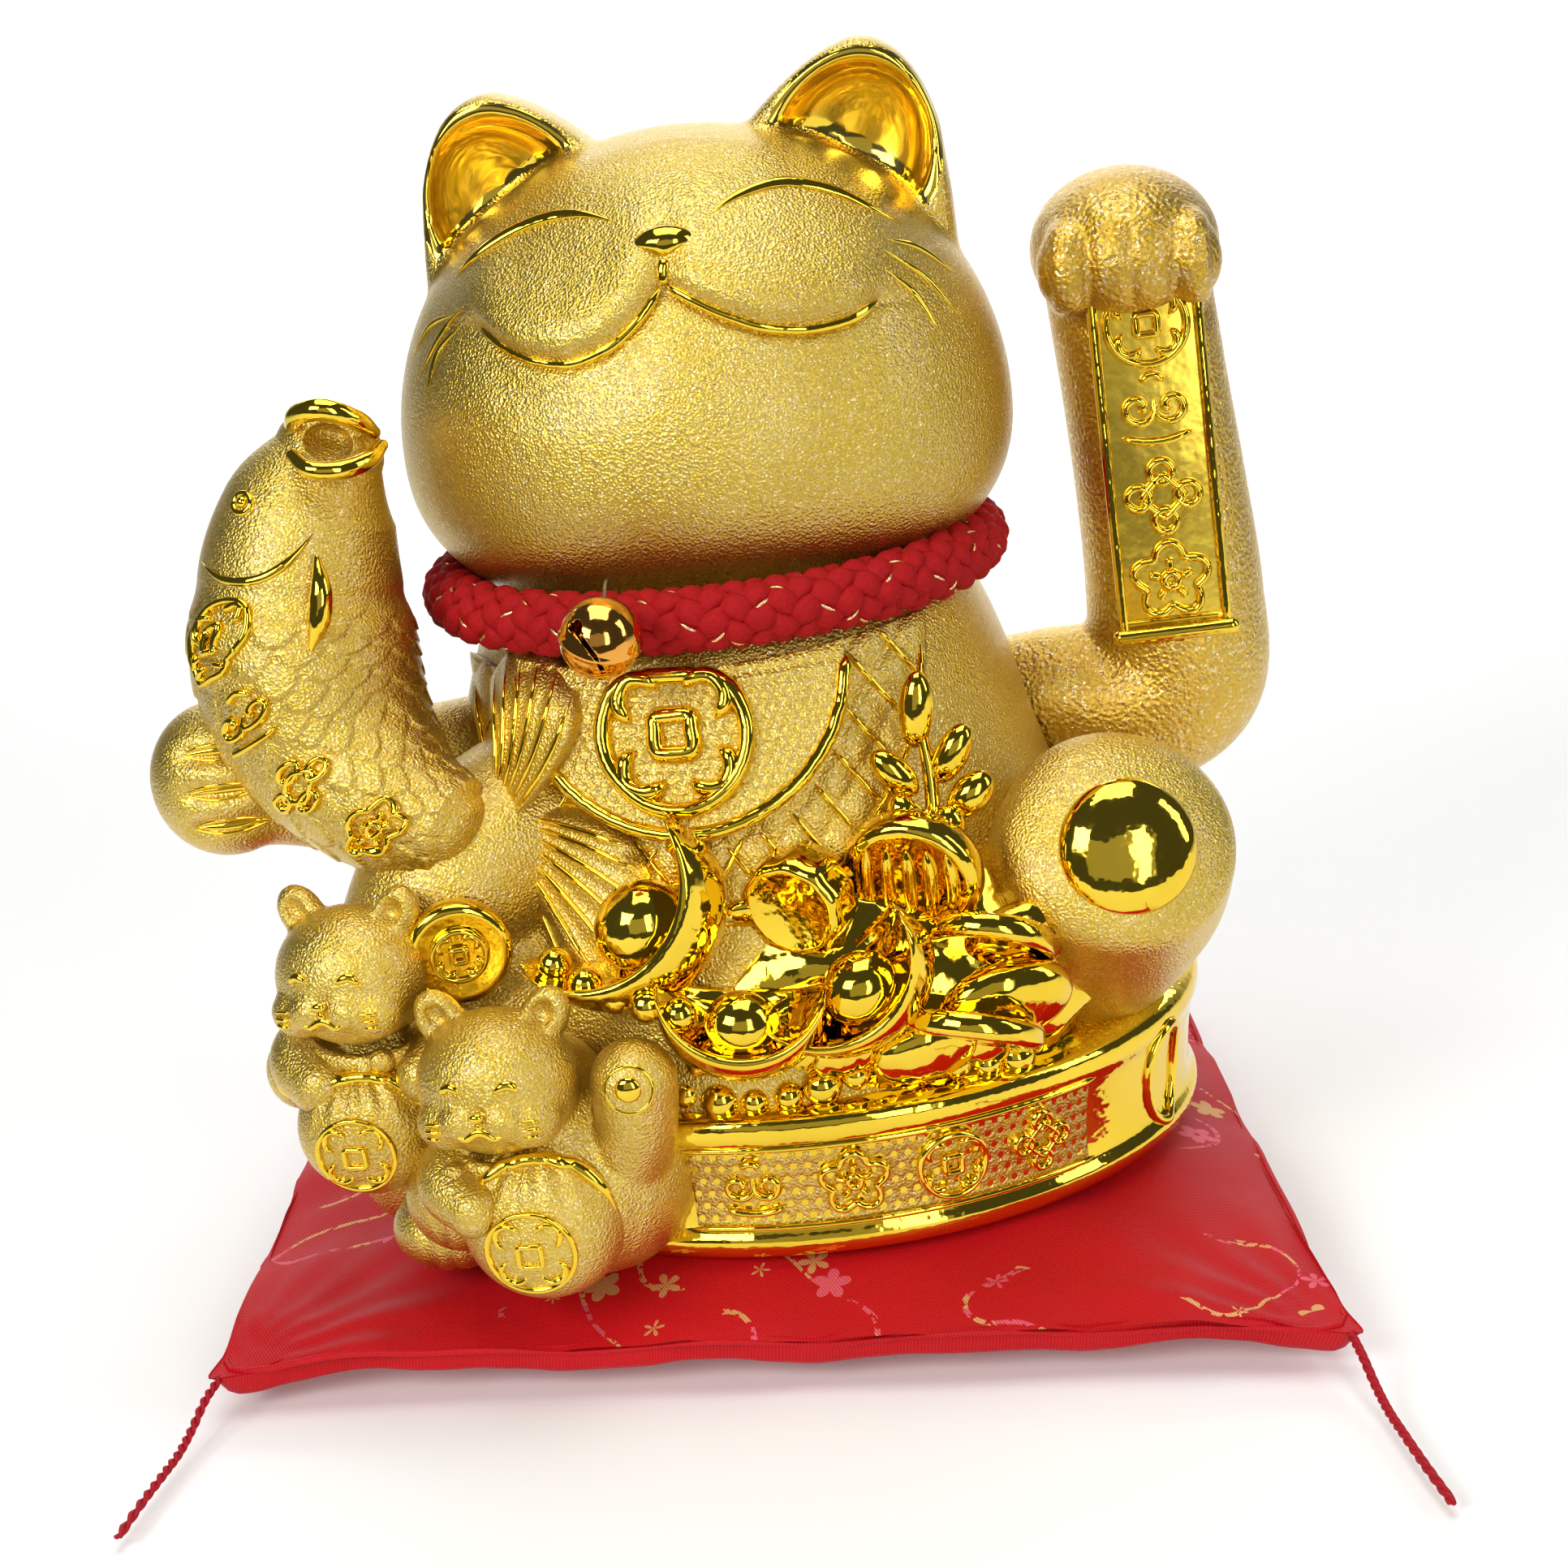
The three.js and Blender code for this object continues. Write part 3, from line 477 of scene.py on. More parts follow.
def new_group(name, inputs, outputs):
    """An empty shader group with named sockets. Inputs are name: default number or colour."""
    tree = bpy.data.node_groups.new(name, "ShaderNodeTree")
    for title, value in inputs.items():
        kind = "NodeSocketColor" if isinstance(value, tuple) else "NodeSocketFloat"
        tree.interface.new_socket(name=title, in_out="INPUT", socket_type=kind).default_value = value
    for title, kind in outputs.items():
        tree.interface.new_socket(name=title, in_out="OUTPUT", socket_type="NodeSocket" + kind)
    return tree, tree.nodes.new("NodeGroupInput").outputs, tree.nodes.new("NodeGroupOutput").inputs


def use_group(tree, name, **inputs):
    """A group placed in a material with its own values."""
    made = tree.nodes.new("ShaderNodeGroup")
    made.node_tree = bpy.data.node_groups[name]
    for key, value in inputs.items():
        key = key.replace("_", " ")
        if isinstance(value, bpy.types.NodeSocket):
            tree.links.new(value, made.inputs[key])
        else:
            made.inputs[key].default_value = value
    return made.outputs


def tell(name):
    """Say how many nodes a group holds."""
    print("group", name, "has", len(bpy.data.node_groups[name].nodes), "nodes")


# %% The grain group
def build_grain():
    """Blasted grain: small rounded pits and bumps, and a Sparkle mask of random cells, used for painted
    glints and glossier specks.
    """
    tree, given, result = new_group("Grain", {"Size": 900.0, "Coarse": 0.3},
                                    {"Height": "Float", "Sparkle": "Float"})
    place = add(tree, "TexCoord").outputs["Object"]
    fine = add(tree, "TexVoronoi", {"Vector": place, "Scale": given["Size"]}, feature="SMOOTH_F1")
    fine.inputs["Smoothness"].default_value = 0.6
    loose = add(tree, "TexNoise", {"Vector": place, "Scale": maths(tree, "MULTIPLY", given["Size"], 0.9),
                                   "Detail": 3.0, "Roughness": 0.65})
    pits = maths(tree, "MULTIPLY", fine.outputs["Distance"], maths(tree, "SUBTRACT", 1.0, given["Coarse"]))
    tree.links.new(maths(tree, "ADD", pits, maths(tree, "MULTIPLY", loose.outputs["Fac"], given["Coarse"])),
                   result["Height"])
    cell = add(tree, "TexVoronoi", {"Vector": place, "Scale": maths(tree, "MULTIPLY", given["Size"], 1.5)})
    lucky = add(tree, "SeparateColor", {0: cell.outputs["Color"]}).outputs[0]
    tree.links.new(maths(tree, "MULTIPLY", maths(tree, "SUBTRACT", lucky, 0.72, True), 3.5, True),
                   result["Sparkle"])


build_grain()
tell("Grain")


# %% The tone group
def build_tone():
    """Slow changes of colour and gloss, as an even coat over an uneven clay body has."""
    tree, given, result = new_group("Uneven tone", {"Size": 14.0, "Spread": 0.5}, {"Fac": "Float"})
    place = add(tree, "TexCoord").outputs["Object"]
    broad = add(tree, "TexNoise", {"Vector": place, "Scale": given["Size"], "Detail": 3.0, "Roughness": 0.55})
    centred = maths(tree, "SUBTRACT", broad.outputs["Fac"], 0.5)
    spread = maths(tree, "MULTIPLY", centred, maths(tree, "MULTIPLY", given["Spread"], 3.0))
    tree.links.new(maths(tree, "ADD", spread, 0.5, True), result["Fac"])


build_tone()
tell("Uneven tone")


# %% [markdown]
# Satin is woven so that one set of threads floats over several of the others. Its face is a
# field of short slanted floats that shine along one direction. Cloth groups take their threads
# from object coordinates, because the cushion lies flat and needs no unwrapping.

# %% The weave group
def build_weave():
    """Slanted floats of a satin weave; Thread is how many threads there are in a metre."""
    tree, given, result = new_group("Weave", {"Thread": 1400.0}, {"Height": "Float", "Float mask": "Float"})
    place = add(tree, "TexCoord").outputs["Object"]
    xyz = add(tree, "SeparateXYZ", {0: place}).outputs
    slant = maths(tree, "ADD", xyz["X"], maths(tree, "MULTIPLY", xyz["Y"], 0.55))
    lean = maths(tree, "SUBTRACT", xyz["Y"], maths(tree, "MULTIPLY", xyz["X"], 0.3))
    waves = []
    for value, share in ((slant, 1.0), (lean, 0.55)):
        turns = maths(tree, "MULTIPLY", maths(tree, "MULTIPLY", value, given["Thread"]), share * 2 * math.pi)
        waves.append(maths(tree, "SINE", turns))
    first, second = maths(tree, "MULTIPLY", waves[0], 0.35), maths(tree, "MULTIPLY", waves[1], 0.15)
    tree.links.new(maths(tree, "ADD", maths(tree, "ADD", first, second), 0.5, True), result["Height"])
    tree.links.new(maths(tree, "GREATER_THAN", waves[0], 0.2), result["Float mask"])


build_weave()
tell("Weave")


# %% The blossom group
SPRAYS = [(-0.040, -0.108, 0.024), (0.012, -0.112, 0.024), (0.058, -0.114, 0.017), (0.117, -0.106, 0.02),
          (-0.116, -0.045, 0.02),
          (0.118, -0.02, 0.022), (0.06, 0.104, 0.028), (-0.1, 0.1, 0.03), (-0.02, 0.112, 0.02),
          (0.112, 0.06, 0.02), (-0.128, 0.03, 0.02)]


def build_blossoms():
    """Sprays of five-petalled blossoms and dotted twigs at a few places of the cloth."""
    tree, given, result = new_group("Blossoms", {"Per metre": 72.0, "Share": 0.8},
                                    {"Petals": "Float", "Twigs": "Float", "Pink": "Float"})
    place = add(tree, "TexCoord").outputs["Object"]
    flat = add(tree, "VectorMath", {0: place, 1: (1, 1, 0)}, operation="MULTIPLY").outputs[0]
    cells = add(tree, "TexVoronoi", {"Vector": flat, "Scale": given["Per metre"], "Randomness": 0.75})
    from_middle = add(tree, "VectorMath", {0: flat, 1: cells.outputs["Position"]}, operation="SUBTRACT")
    xyz = add(tree, "SeparateXYZ", {0: from_middle.outputs[0]}).outputs
    random = add(tree, "SeparateColor", {0: cells.outputs["Color"]}).outputs
    facing = maths(tree, "ARCTAN2", xyz["Y"], xyz["X"])
    angle = maths(tree, "ADD", facing, maths(tree, "MULTIPLY", random[2], 6.0))
    lobes = maths(tree, "ABSOLUTE", maths(tree, "COSINE", maths(tree, "MULTIPLY", angle, 2.5)))
    reach = maths(tree, "ADD", maths(tree, "MULTIPLY", lobes, 0.17), 0.2)
    distance = cells.outputs["Distance"]
    inside = maths(tree, "LESS_THAN", distance, reach)
    heart = maths(tree, "GREATER_THAN", distance, 0.07)
    wobble = add(tree, "TexNoise", {"Vector": flat, "Scale": 60.0, "Detail": 1.0}).outputs["Fac"]
    where = 0.0
    for x, y, size in SPRAYS:
        gap = add(tree, "VectorMath", {0: flat, 1: (x, y, 0)}, operation="DISTANCE").outputs["Value"]
        loose = maths(tree, "ADD", gap, maths(tree, "MULTIPLY", wobble, size * 0.8))
        where = maths(tree, "MAXIMUM", where, maths(tree, "LESS_THAN", loose, size * 1.4))
    chosen = maths(tree, "MULTIPLY", where, maths(tree, "LESS_THAN", random[0], given["Share"]))
    tree.links.new(maths(tree, "MULTIPLY", maths(tree, "MULTIPLY", inside, heart), chosen), result["Petals"])
    bend = add(tree, "TexNoise", {"Vector": flat, "Scale": 34.0, "Detail": 0.0}).outputs["Fac"]
    line = maths(tree, "LESS_THAN", maths(tree, "ABSOLUTE", maths(tree, "SUBTRACT", bend, 0.5)), 0.012)
    specks = add(tree, "TexNoise", {"Vector": flat, "Scale": 420.0}).outputs["Fac"]
    dots = maths(tree, "GREATER_THAN", specks, 0.46)
    tree.links.new(maths(tree, "MULTIPLY", maths(tree, "MULTIPLY", line, dots), where), result["Twigs"])
    tree.links.new(maths(tree, "GREATER_THAN", random[1], 0.55), result["Pink"])


build_blossoms()
tell("Blossoms")

# %% [markdown]
# Each gold is a metal whose colour is the colour of its reflection. A deep yellow goes to orange
# where the surface turns away, so the tone group moves the colour a little between the two. The
# thin clear coat over the sand gold gives it the paler sheen that a lacquered plating has.

# %% The golds
def shell(name, **values):
    """A material with its Principled shader and the constant values set on it."""
    material = bpy.data.materials.new(name)
    material.use_nodes = True
    tree = material.node_tree
    shader = tree.nodes["Principled BSDF"]
    for key, value in values.items():
        shader.inputs[key.replace("_", " ")].default_value = value
    return material, tree, shader


def mixed(tree, share, a, b):
    """A colour between two colours."""
    made = add(tree, "Mix", {0: share}, data_type="RGBA")
    for key, value in ((6, a), (7, b)):
        if isinstance(value, bpy.types.NodeSocket):
            tree.links.new(value, made.inputs[key])
        else:
            made.inputs[key].default_value = (*value, 1)
    return made.outputs[2]


def bump(tree, shader, height, strength, distance):
    """A bump that feeds the shader's normal."""
    made = add(tree, "Bump", {"Height": height, "Strength": strength, "Distance": distance})
    tree.links.new(made.outputs["Normal"], shader.inputs["Normal"])


# Painted glints: random grains of the blasted gold are painted a pale, nearly white colour that stands in for
# glints of light, and are also made a little glossier.
PAINTED_GLINT, PAINTED_GLINT_SHARE, GLINT_GLOSS = (1.0, 0.95, 0.78), 0.36, 0.16


def grained_gold(name, pale, deep, size, coarse, depth, rough, coat):
    """Blasted gold plating, with painted glints on random grains."""
    material, tree, shader = shell(name, Metallic=1.0, Coat_Weight=coat, Coat_Roughness=0.3)
    grain = use_group(tree, "Grain", Size=size, Coarse=coarse)
    tone = use_group(tree, "Uneven tone", Size=11.0, Spread=0.55)["Fac"]
    colour = mixed(tree, tone, pale, deep)
    painted_glint = mixed(tree, maths(tree, "MULTIPLY", grain["Sparkle"], PAINTED_GLINT_SHARE), colour, PAINTED_GLINT)
    tree.links.new(painted_glint, shader.inputs["Base Color"])
    softer = maths(tree, "SUBTRACT", rough, maths(tree, "MULTIPLY", grain["Sparkle"], GLINT_GLOSS))
    uneven = maths(tree, "ADD", softer, maths(tree, "MULTIPLY", tone, 0.06))
    tree.links.new(uneven, shader.inputs["Roughness"])
    bump(tree, shader, grain["Height"], 1.0, depth)
    return material


def polished_gold(name, pale, deep, rough=0.06):
    """Gold plating over smooth glaze, which is never quite flat."""
    material, tree, shader = shell(name, Metallic=1.0)
    tone = use_group(tree, "Uneven tone", Size=30.0, Spread=0.4)["Fac"]
    tree.links.new(mixed(tree, tone, pale, deep), shader.inputs["Base Color"])
    specks = use_group(tree, "Grain", Size=500.0, Coarse=0.9)["Sparkle"]
    duller = maths(tree, "ADD", maths(tree, "MULTIPLY", specks, 0.03), rough)
    tree.links.new(duller, shader.inputs["Roughness"])
    ripple = use_group(tree, "Uneven tone", Size=85.0, Spread=0.8)["Fac"]
    bump(tree, shader, ripple, 0.35, 0.0006)
    return material


SAND_PALE, SAND_DEEP = (0.80, 0.58, 0.10), (0.54, 0.35, 0.025)
SAND_GRAIN, SAND_COARSE, SAND_DEPTH, SAND_COAT = 1500.0, 0.3, 0.00045, 0.42
sand_gold = grained_gold("sand_gold", SAND_PALE, SAND_DEEP, SAND_GRAIN, SAND_COARSE, SAND_DEPTH, 0.39,
                         SAND_COAT)
arm_gold = grained_gold("arm_gold", (0.76, 0.51, 0.08), (0.52, 0.30, 0.02), 850.0, 0.5, 0.00070, 0.34, 0.32)
mirror_gold = polished_gold("mirror_gold", (0.93, 0.68, 0.07), (0.82, 0.54, 0.03))
satin_gold = polished_gold("satin_gold", (0.90, 0.66, 0.09), (0.78, 0.52, 0.04), 0.27)
bell_brass = polished_gold("bell_brass", (0.86, 0.43, 0.09), (0.74, 0.31, 0.04), 0.08)


def gild(name, shapes, stands_for=(), body="figurine"):
    """A piece in mirror gold."""
    return piece(name, shapes, mirror_gold, body, stands_for)


print("golds:", sand_gold.name, arm_gold.name, mirror_gold.name, satin_gold.name, bell_brass.name)

# %% [markdown]
# Inside each ear the plating is polished, and the border runs just behind the rim. The mould was
# masked there with a soft edge, so the finish changes and not the clay. A mask from the distance
# to the hollow's middle does this in the material and leaves the head one skin.

# %% Head gold with polished ears
EAR_HOLLOWS = [((47, -12, 275), (20, 17, 23), 0.5), ((-40, -12, 271), (20, 17, 23), -0.5)]
HEAD = {"x": 3, "y": -3, "z": 212, "half": 78, "deep": 66, "up": 74, "down": 47}


def build_ear_mask():
    """1 inside the hollow of an ear and on its rim, 0 on the ball of the head and behind."""
    tree, given, result = new_group("Ear mask", {"Reach": 1.16}, {"Mask": "Float"})
    place = add(tree, "TexCoord").outputs["Object"]
    found = 0.0
    for middle, radii, turn in EAR_HOLLOWS:
        moved = add(tree, "Mapping", {"Vector": place, "Location": [c * MM for c in middle],
                                      "Rotation": (0, turn, 0), "Scale": [r * MM for r in radii]},
                    vector_type="TEXTURE")
        distance = add(tree, "VectorMath", {0: moved.outputs[0]}, operation="LENGTH").outputs["Value"]
        inside = maths(tree, "MULTIPLY", maths(tree, "SUBTRACT", given["Reach"], distance), 30.0, True)
        found = maths(tree, "MAXIMUM", inside, found)
    front = add(tree, "SeparateXYZ", {0: place}).outputs["Y"]
    facing = maths(tree, "MULTIPLY", maths(tree, "SUBTRACT", 0.0072, front), 900.0, True)
    from_head = add(tree, "Mapping", {"Vector": place, "Location": [HEAD[k] * MM for k in "xyz"],
                                      "Scale": [HEAD[k] * MM for k in ("half", "deep", "up")]},
                    vector_type="TEXTURE")
    out = add(tree, "VectorMath", {0: from_head.outputs[0]}, operation="LENGTH").outputs["Value"]
    on_ear = maths(tree, "MULTIPLY", maths(tree, "SUBTRACT", out, 1.012), 60.0, True)
    tree.links.new(maths(tree, "MULTIPLY", maths(tree, "MULTIPLY", found, facing), on_ear), result["Mask"])


build_ear_mask()
tell("Ear mask")
head_gold, head_tree, head_shader = shell("head_gold", Metallic=1.0, Coat_Weight=SAND_COAT,
                                          Coat_Roughness=0.3)
mask = use_group(head_tree, "Ear mask")["Mask"]
grain = use_group(head_tree, "Grain", Size=SAND_GRAIN, Coarse=SAND_COARSE)
tone = use_group(head_tree, "Uneven tone", Size=11.0, Spread=0.55)["Fac"]
# The sand gold of the head carries the same painted glints on random grains.
sand_colour = mixed(head_tree, maths(head_tree, "MULTIPLY", grain["Sparkle"], PAINTED_GLINT_SHARE),
                    mixed(head_tree, tone, SAND_PALE, SAND_DEEP), PAINTED_GLINT)
head_tree.links.new(mixed(head_tree, mask, sand_colour, (0.90, 0.63, 0.05)), head_shader.inputs["Base Color"])
sand_rough = maths(head_tree, "SUBTRACT", 0.40, maths(head_tree, "MULTIPLY", grain["Sparkle"], GLINT_GLOSS))
smooth_share = maths(head_tree, "SUBTRACT", 1.0, mask)
head_tree.links.new(maths(head_tree, "MAXIMUM", maths(head_tree, "MULTIPLY", sand_rough, smooth_share), 0.07),
                    head_shader.inputs["Roughness"])
bump(head_tree, head_shader, maths(head_tree, "MULTIPLY", grain["Height"], smooth_share), 1.0, SAND_DEPTH)
print("head gold has", len(head_tree.nodes), "nodes")

# %% [markdown]
# The cloth, the cords and the plain parts of the drive come next. The cushion's face is brocade:
# blossoms in pale gold and pink thread on a red satin ground. The hem is the same satin without
# the pattern. Plastics get a faint moulding texture, and metals a finer grain of the same kind.

# %% Cloth and cord finishes
def red_cloth(name, patterned):
    """Red satin, with or without woven blossoms; its floats carry a painted sheen."""
    material, tree, shader = shell(name, Sheen_Weight=0.12, Sheen_Roughness=0.3, Specular_IOR_Level=0.15)
    shader.inputs["Sheen Tint"].default_value = (1.0, 0.25, 0.45, 1)
    weave = use_group(tree, "Weave", Thread=1300.0)
    tone = use_group(tree, "Uneven tone", Size=20.0, Spread=0.5)["Fac"]
    ground = mixed(tree, tone, (0.56, 0.005, 0.008), (0.38, 0.003, 0.005))
    # Painted sheen: the floats of the weave are painted a lighter red where they would shine.
    ground = mixed(tree, maths(tree, "MULTIPLY", weave["Float mask"], 0.4), ground, (0.76, 0.015, 0.030))
    rough, metal = 0.44, None
    if patterned:
        blossoms = use_group(tree, "Blossoms")
        thread = mixed(tree, blossoms["Pink"], (0.80, 0.52, 0.20), (0.85, 0.16, 0.24))
        shown = maths(tree, "MULTIPLY", maths(tree, "MAXIMUM", blossoms["Petals"], blossoms["Twigs"]),
                      maths(tree, "ADD", maths(tree, "MULTIPLY", weave["Float mask"], 0.45), 0.5))
        ground = mixed(tree, shown, ground, thread)
        metal = maths(tree, "MULTIPLY", shown, 0.6)
    tree.links.new(ground, shader.inputs["Base Color"])
    tree.links.new(maths(tree, "ADD", maths(tree, "MULTIPLY", weave["Height"], 0.12), rough),
                   shader.inputs["Roughness"])
    if metal is not None:
        tree.links.new(metal, shader.inputs["Metallic"])
    bump(tree, shader, weave["Height"], 0.5, 0.00018)
    return material


def spun_thread(name, colour, dark, size=900.0, metallic=0.0, rough=0.62):
    """Twisted thread: fine fibres along a cord, with painted shade between the fibres."""
    material, tree, shader = shell(name, Metallic=metallic, Specular_IOR_Level=0.18)
    fibre = use_group(tree, "Grain", Size=size, Coarse=0.8)
    # Painted shade: the colour goes to the dark colour where the fibre bump is low.
    tree.links.new(mixed(tree, fibre["Height"], dark, colour), shader.inputs["Base Color"])
    tree.links.new(maths(tree, "ADD", maths(tree, "MULTIPLY", fibre["Height"], 0.2), rough - 0.1),
                   shader.inputs["Roughness"])
    bump(tree, shader, fibre["Height"], 0.6, 0.00035)
    return material


red_brocade = red_cloth("red_brocade", True)
plain_satin = red_cloth("plain_satin", False)
red_braid = spun_thread("red_braid", (0.56, 0.008, 0.010), (0.22, 0.002, 0.004), rough=0.72)
cord_thread = spun_thread("cord_thread", (0.50, 0.012, 0.022), (0.26, 0.004, 0.010))
foil_thread = spun_thread("foil_thread", (0.98, 0.80, 0.48), (0.85, 0.55, 0.22), 1500.0, 1.0, 0.28)
print("cloths:", red_brocade.name, plain_satin.name)


# %% Plain finishes for the drive and the battery pack
def moulded(name, colour, rough, metallic=0.0, size=700.0, depth=0.00008):
    """Plastic or metal with a fine texture and slightly uneven gloss."""
    material, tree, shader = shell(name, Metallic=metallic)
    tone = use_group(tree, "Uneven tone", Size=40.0, Spread=0.6)["Fac"]
    grain = use_group(tree, "Grain", Size=size, Coarse=0.6)["Height"]
    tree.links.new(mixed(tree, tone, colour, tuple(c * 0.82 for c in colour)), shader.inputs["Base Color"])
    tree.links.new(maths(tree, "ADD", maths(tree, "MULTIPLY", tone, 0.12), rough - 0.06),
                   shader.inputs["Roughness"])
    bump(tree, shader, grain, 0.5, depth)
    return material


grey_plastic = moulded("grey_plastic", (0.075, 0.075, 0.08), 0.5, depth=0.00015)
white_plastic = moulded("white_plastic", (0.68, 0.66, 0.61), 0.42)
bright_steel = moulded("bright_steel", (0.50, 0.52, 0.54), 0.28, 1.0, 1500.0, 0.00003)
copper_wire = moulded("copper_wire", (0.72, 0.30, 0.13), 0.32, 1.0, 1800.0, 0.00012)
green_board = moulded("green_board", (0.02, 0.15, 0.05), 0.45)
cell_label = moulded("cell_label", (0.03, 0.11, 0.36), 0.35, depth=0.00002)

PLAIN_NODES = {
    grey_plastic: ["battery_case", "battery_door", "base_plate", "drive_bracket"],
    white_plastic: ["power_switch", "swing_lever", "coil_bobbin", "inner_bush", "outer_bush"],
    bright_steel: ["arm_shaft", "lever_weight", "lever_magnet", "lower_contact", "upper_contact",
                   "front_screw", "rear_screw", "bell_pea", "bell_loop"],
    copper_wire: ["coil_winding"],
    green_board: ["circuit_board"],
    cell_label: ["left_battery", "right_battery"],
}
for material, names in PLAIN_NODES.items():
    for name in names:
        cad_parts[name].data.materials.clear()
        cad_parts[name].data.materials.append(material)
print("CAD nodes kept as they are:", sum(len(names) for names in PLAIN_NODES.values()))

# %% [markdown]
# ## Corner cords
# A short cord is sewn into each front corner of the cushion, and trails over the table. The left
# one is two strands twisted together, and the right one a thin flat plait. Each is a mesh of real
# strands that follows the CAD route, so that its length is the length of the solid.

# %% The two cords
CORD_ROUTES = {
    "front_left_cord": [(-132, -109.2, 7.6), (-134, -117, 6), (-135.6, -126, 3), (-136.8, -134, 1.5),
                        (-138.2, -143, 1.3), (-139.8, -154, 1.3), (-141.4, -168.9, 1.3)],
    "front_right_cord": [(138.2, -127, 7.6), (139.6, -135, 6), (141.2, -144, 3), (142.6, -152, 1.5),
                         (144.4, -162, 1.3), (146.8, -175, 1.3), (149.9, -190, 1.3)],
}


def strand(line, offset, radius, turns, start):
    """A strand that winds about a line at a distance from it."""
    tangent = np.gradient(line, axis=0)
    tangent /= np.linalg.norm(tangent, axis=1, keepdims=True)
    side = np.cross(tangent, (0, 0, 1))
    side /= np.linalg.norm(side, axis=1, keepdims=True)
    up = np.cross(side, tangent)
    angle = start + np.linspace(0, turns * 2 * math.pi, len(line))
    centre = line + side * (np.cos(angle) * offset)[:, None] + up * (np.sin(angle) * offset)[:, None]
    return bead(centre, up, radius, radius, 0.004, sides=8)


for name, route in CORD_ROUTES.items():
    line = spline(route, np.linspace(0, 1, 240))
    count, turns = (2, 9) if name == "front_left_cord" else (3, 7)
    strands = [strand(line, 0.55, 0.62, turns, k * 2 * math.pi / count) for k in range(count)]
    cord = piece(name + "_strands", strands, cord_thread, stands_for=[name])

# %% [markdown]
# ## Torso
# The torso is a thin slip-cast shell, open below, turned about an upright axis. The side hole for
# the arm's shaft and the room for the battery pack were cut while the clay was soft, so booleans
# with crisp edges are right here. The profile runs up the outside and down the inside.

# %% The torso
BASE_Z = 20.4
TORSO_RINGS = [(88, 20.4), (92, 42), (93, 66), (88, 90), (81, 112), (75, 132), (70, 150), (65, 163),
               (60.5, 171)]
WALL = 6
outside = spline(TORSO_RINGS, np.linspace(0, 1, 44))
inside = outside[::-1] - np.array([WALL, 0])
inside[0] = (42, outside[-1][1] - WALL)
inside[-1, 1] = BASE_Z
profile = np.vstack([[(outside[0][0] - 1, BASE_Z)], outside[1:], [(42, outside[-1][1])], inside])
torso_whole = placed(turned(profile, 128, ring=True), (3, 0, 0))
torso_surface = Surface(placed(turned(np.vstack([[(60, BASE_Z)], outside, [(10, 171)]]), 128), (3, 0, 0)))
pack_room = block((-32.9, 44, 15), (32.9, 110, 102.1))
arm_room = placed(turned([(21.5, 0), (21.5, 40)], 48), (50, 20, 124), (0, math.pi / 2, 0))
piece("torso", [carved(torso_whole, [pack_room, arm_room])], sand_gold, stands_for=["body_shell"])

# %% [markdown]
# ## Head
# The head is a flattened ball with two leaf-shaped ears, each hollowed like a spoon. The ears
# are melted into the ball by the voxel remesh. The muzzle is two soft lobes that end in a fold
# over the mouth, which is a job for moving points along their normals: the height depends on how
# far a point lies above the mouth line.

# %% Ball and ears
NECK_Z = 171.35


def head_ball():
    """The ball of the head, flat at the neck."""
    profile = []
    for z in np.linspace(NECK_Z, HEAD["z"], 24):
        drop = min((HEAD["z"] - z) / HEAD["down"], 0.985)
        profile.append((HEAD["half"] * (1 - drop**2.4) ** (1 / 2.4), z))
    for a in np.linspace(0, math.pi / 2, 40)[1:-1]:
        profile.append((HEAD["half"] * math.cos(a), HEAD["z"] + HEAD["up"] * math.sin(a)))
    points, faces = turned(profile, 120)
    points[-1] = (0, 0, HEAD["z"] + HEAD["up"])
    points = points * np.array([1, HEAD["deep"] / HEAD["half"], 1]) + np.array([HEAD["x"], HEAD["y"], 0])
    return points, faces


def bow(a, control, b):
    """Points on a quadratic curve."""
    t = np.linspace(0, 1, 10, endpoint=False)[:, None]
    return (1 - t) ** 2 * np.array(a) + 2 * t * (1 - t) * np.array(control) + t**2 * np.array(b)


def leaf_ear():
    """An ear: a thick leaf with a hollow in its front."""
    outline = np.vstack([[(14, 258), (17, 281)], bow((20, 284), (36, 300), (48, 302)),
                         bow((48, 302.3), (64, 302), (69, 274)), [(69.5, 262), (70, 246), (40, 236)]])
    centre = outline.mean(0)
    rows = [np.column_stack([(outline - centre) * s + centre, np.full(len(outline), y)])[:, [0, 2, 1]]
            for s, y in ((0.9, -9), (0.97, -6.5), (1.0, -3), (1.0, 8), (0.95, 12), (0.85, 14))]
    leaf = loft(rows)
    return carved(leaf, [ball((46, -12, 275), (20, 17, 23), (0, 0.5, 0), 48)])


def mirrored(shape):
    """The shape seen in a mirror across X."""
    points, faces = shape
    return points * np.array([-1, 1, 1]), [face[::-1] for face in faces]


ear = leaf_ear()
head_skin = fused([head_ball(), placed(ear, (1, 0, 0)), placed(mirrored(ear), (6, 0, -4))], 1.15, 18)
print("head skin", len(head_skin[0]), "points")

# %% Muzzle and mouth fold
MOUTH = np.array([(-44, 246), (-39, 242), (-32, 238.5), (-22, 237), (-12, 240), (-4, 246), (2, 253),
                  (8, 249), (15, 245), (24, 241), (35, 239), (45, 240), (51, 243)], float)


def smooth_step(x, low, high):
    """0 below low, 1 above high, and soft between them."""
    t = np.clip((x - low) / (high - low), 0, 1)
    return t * t * (3 - 2 * t)


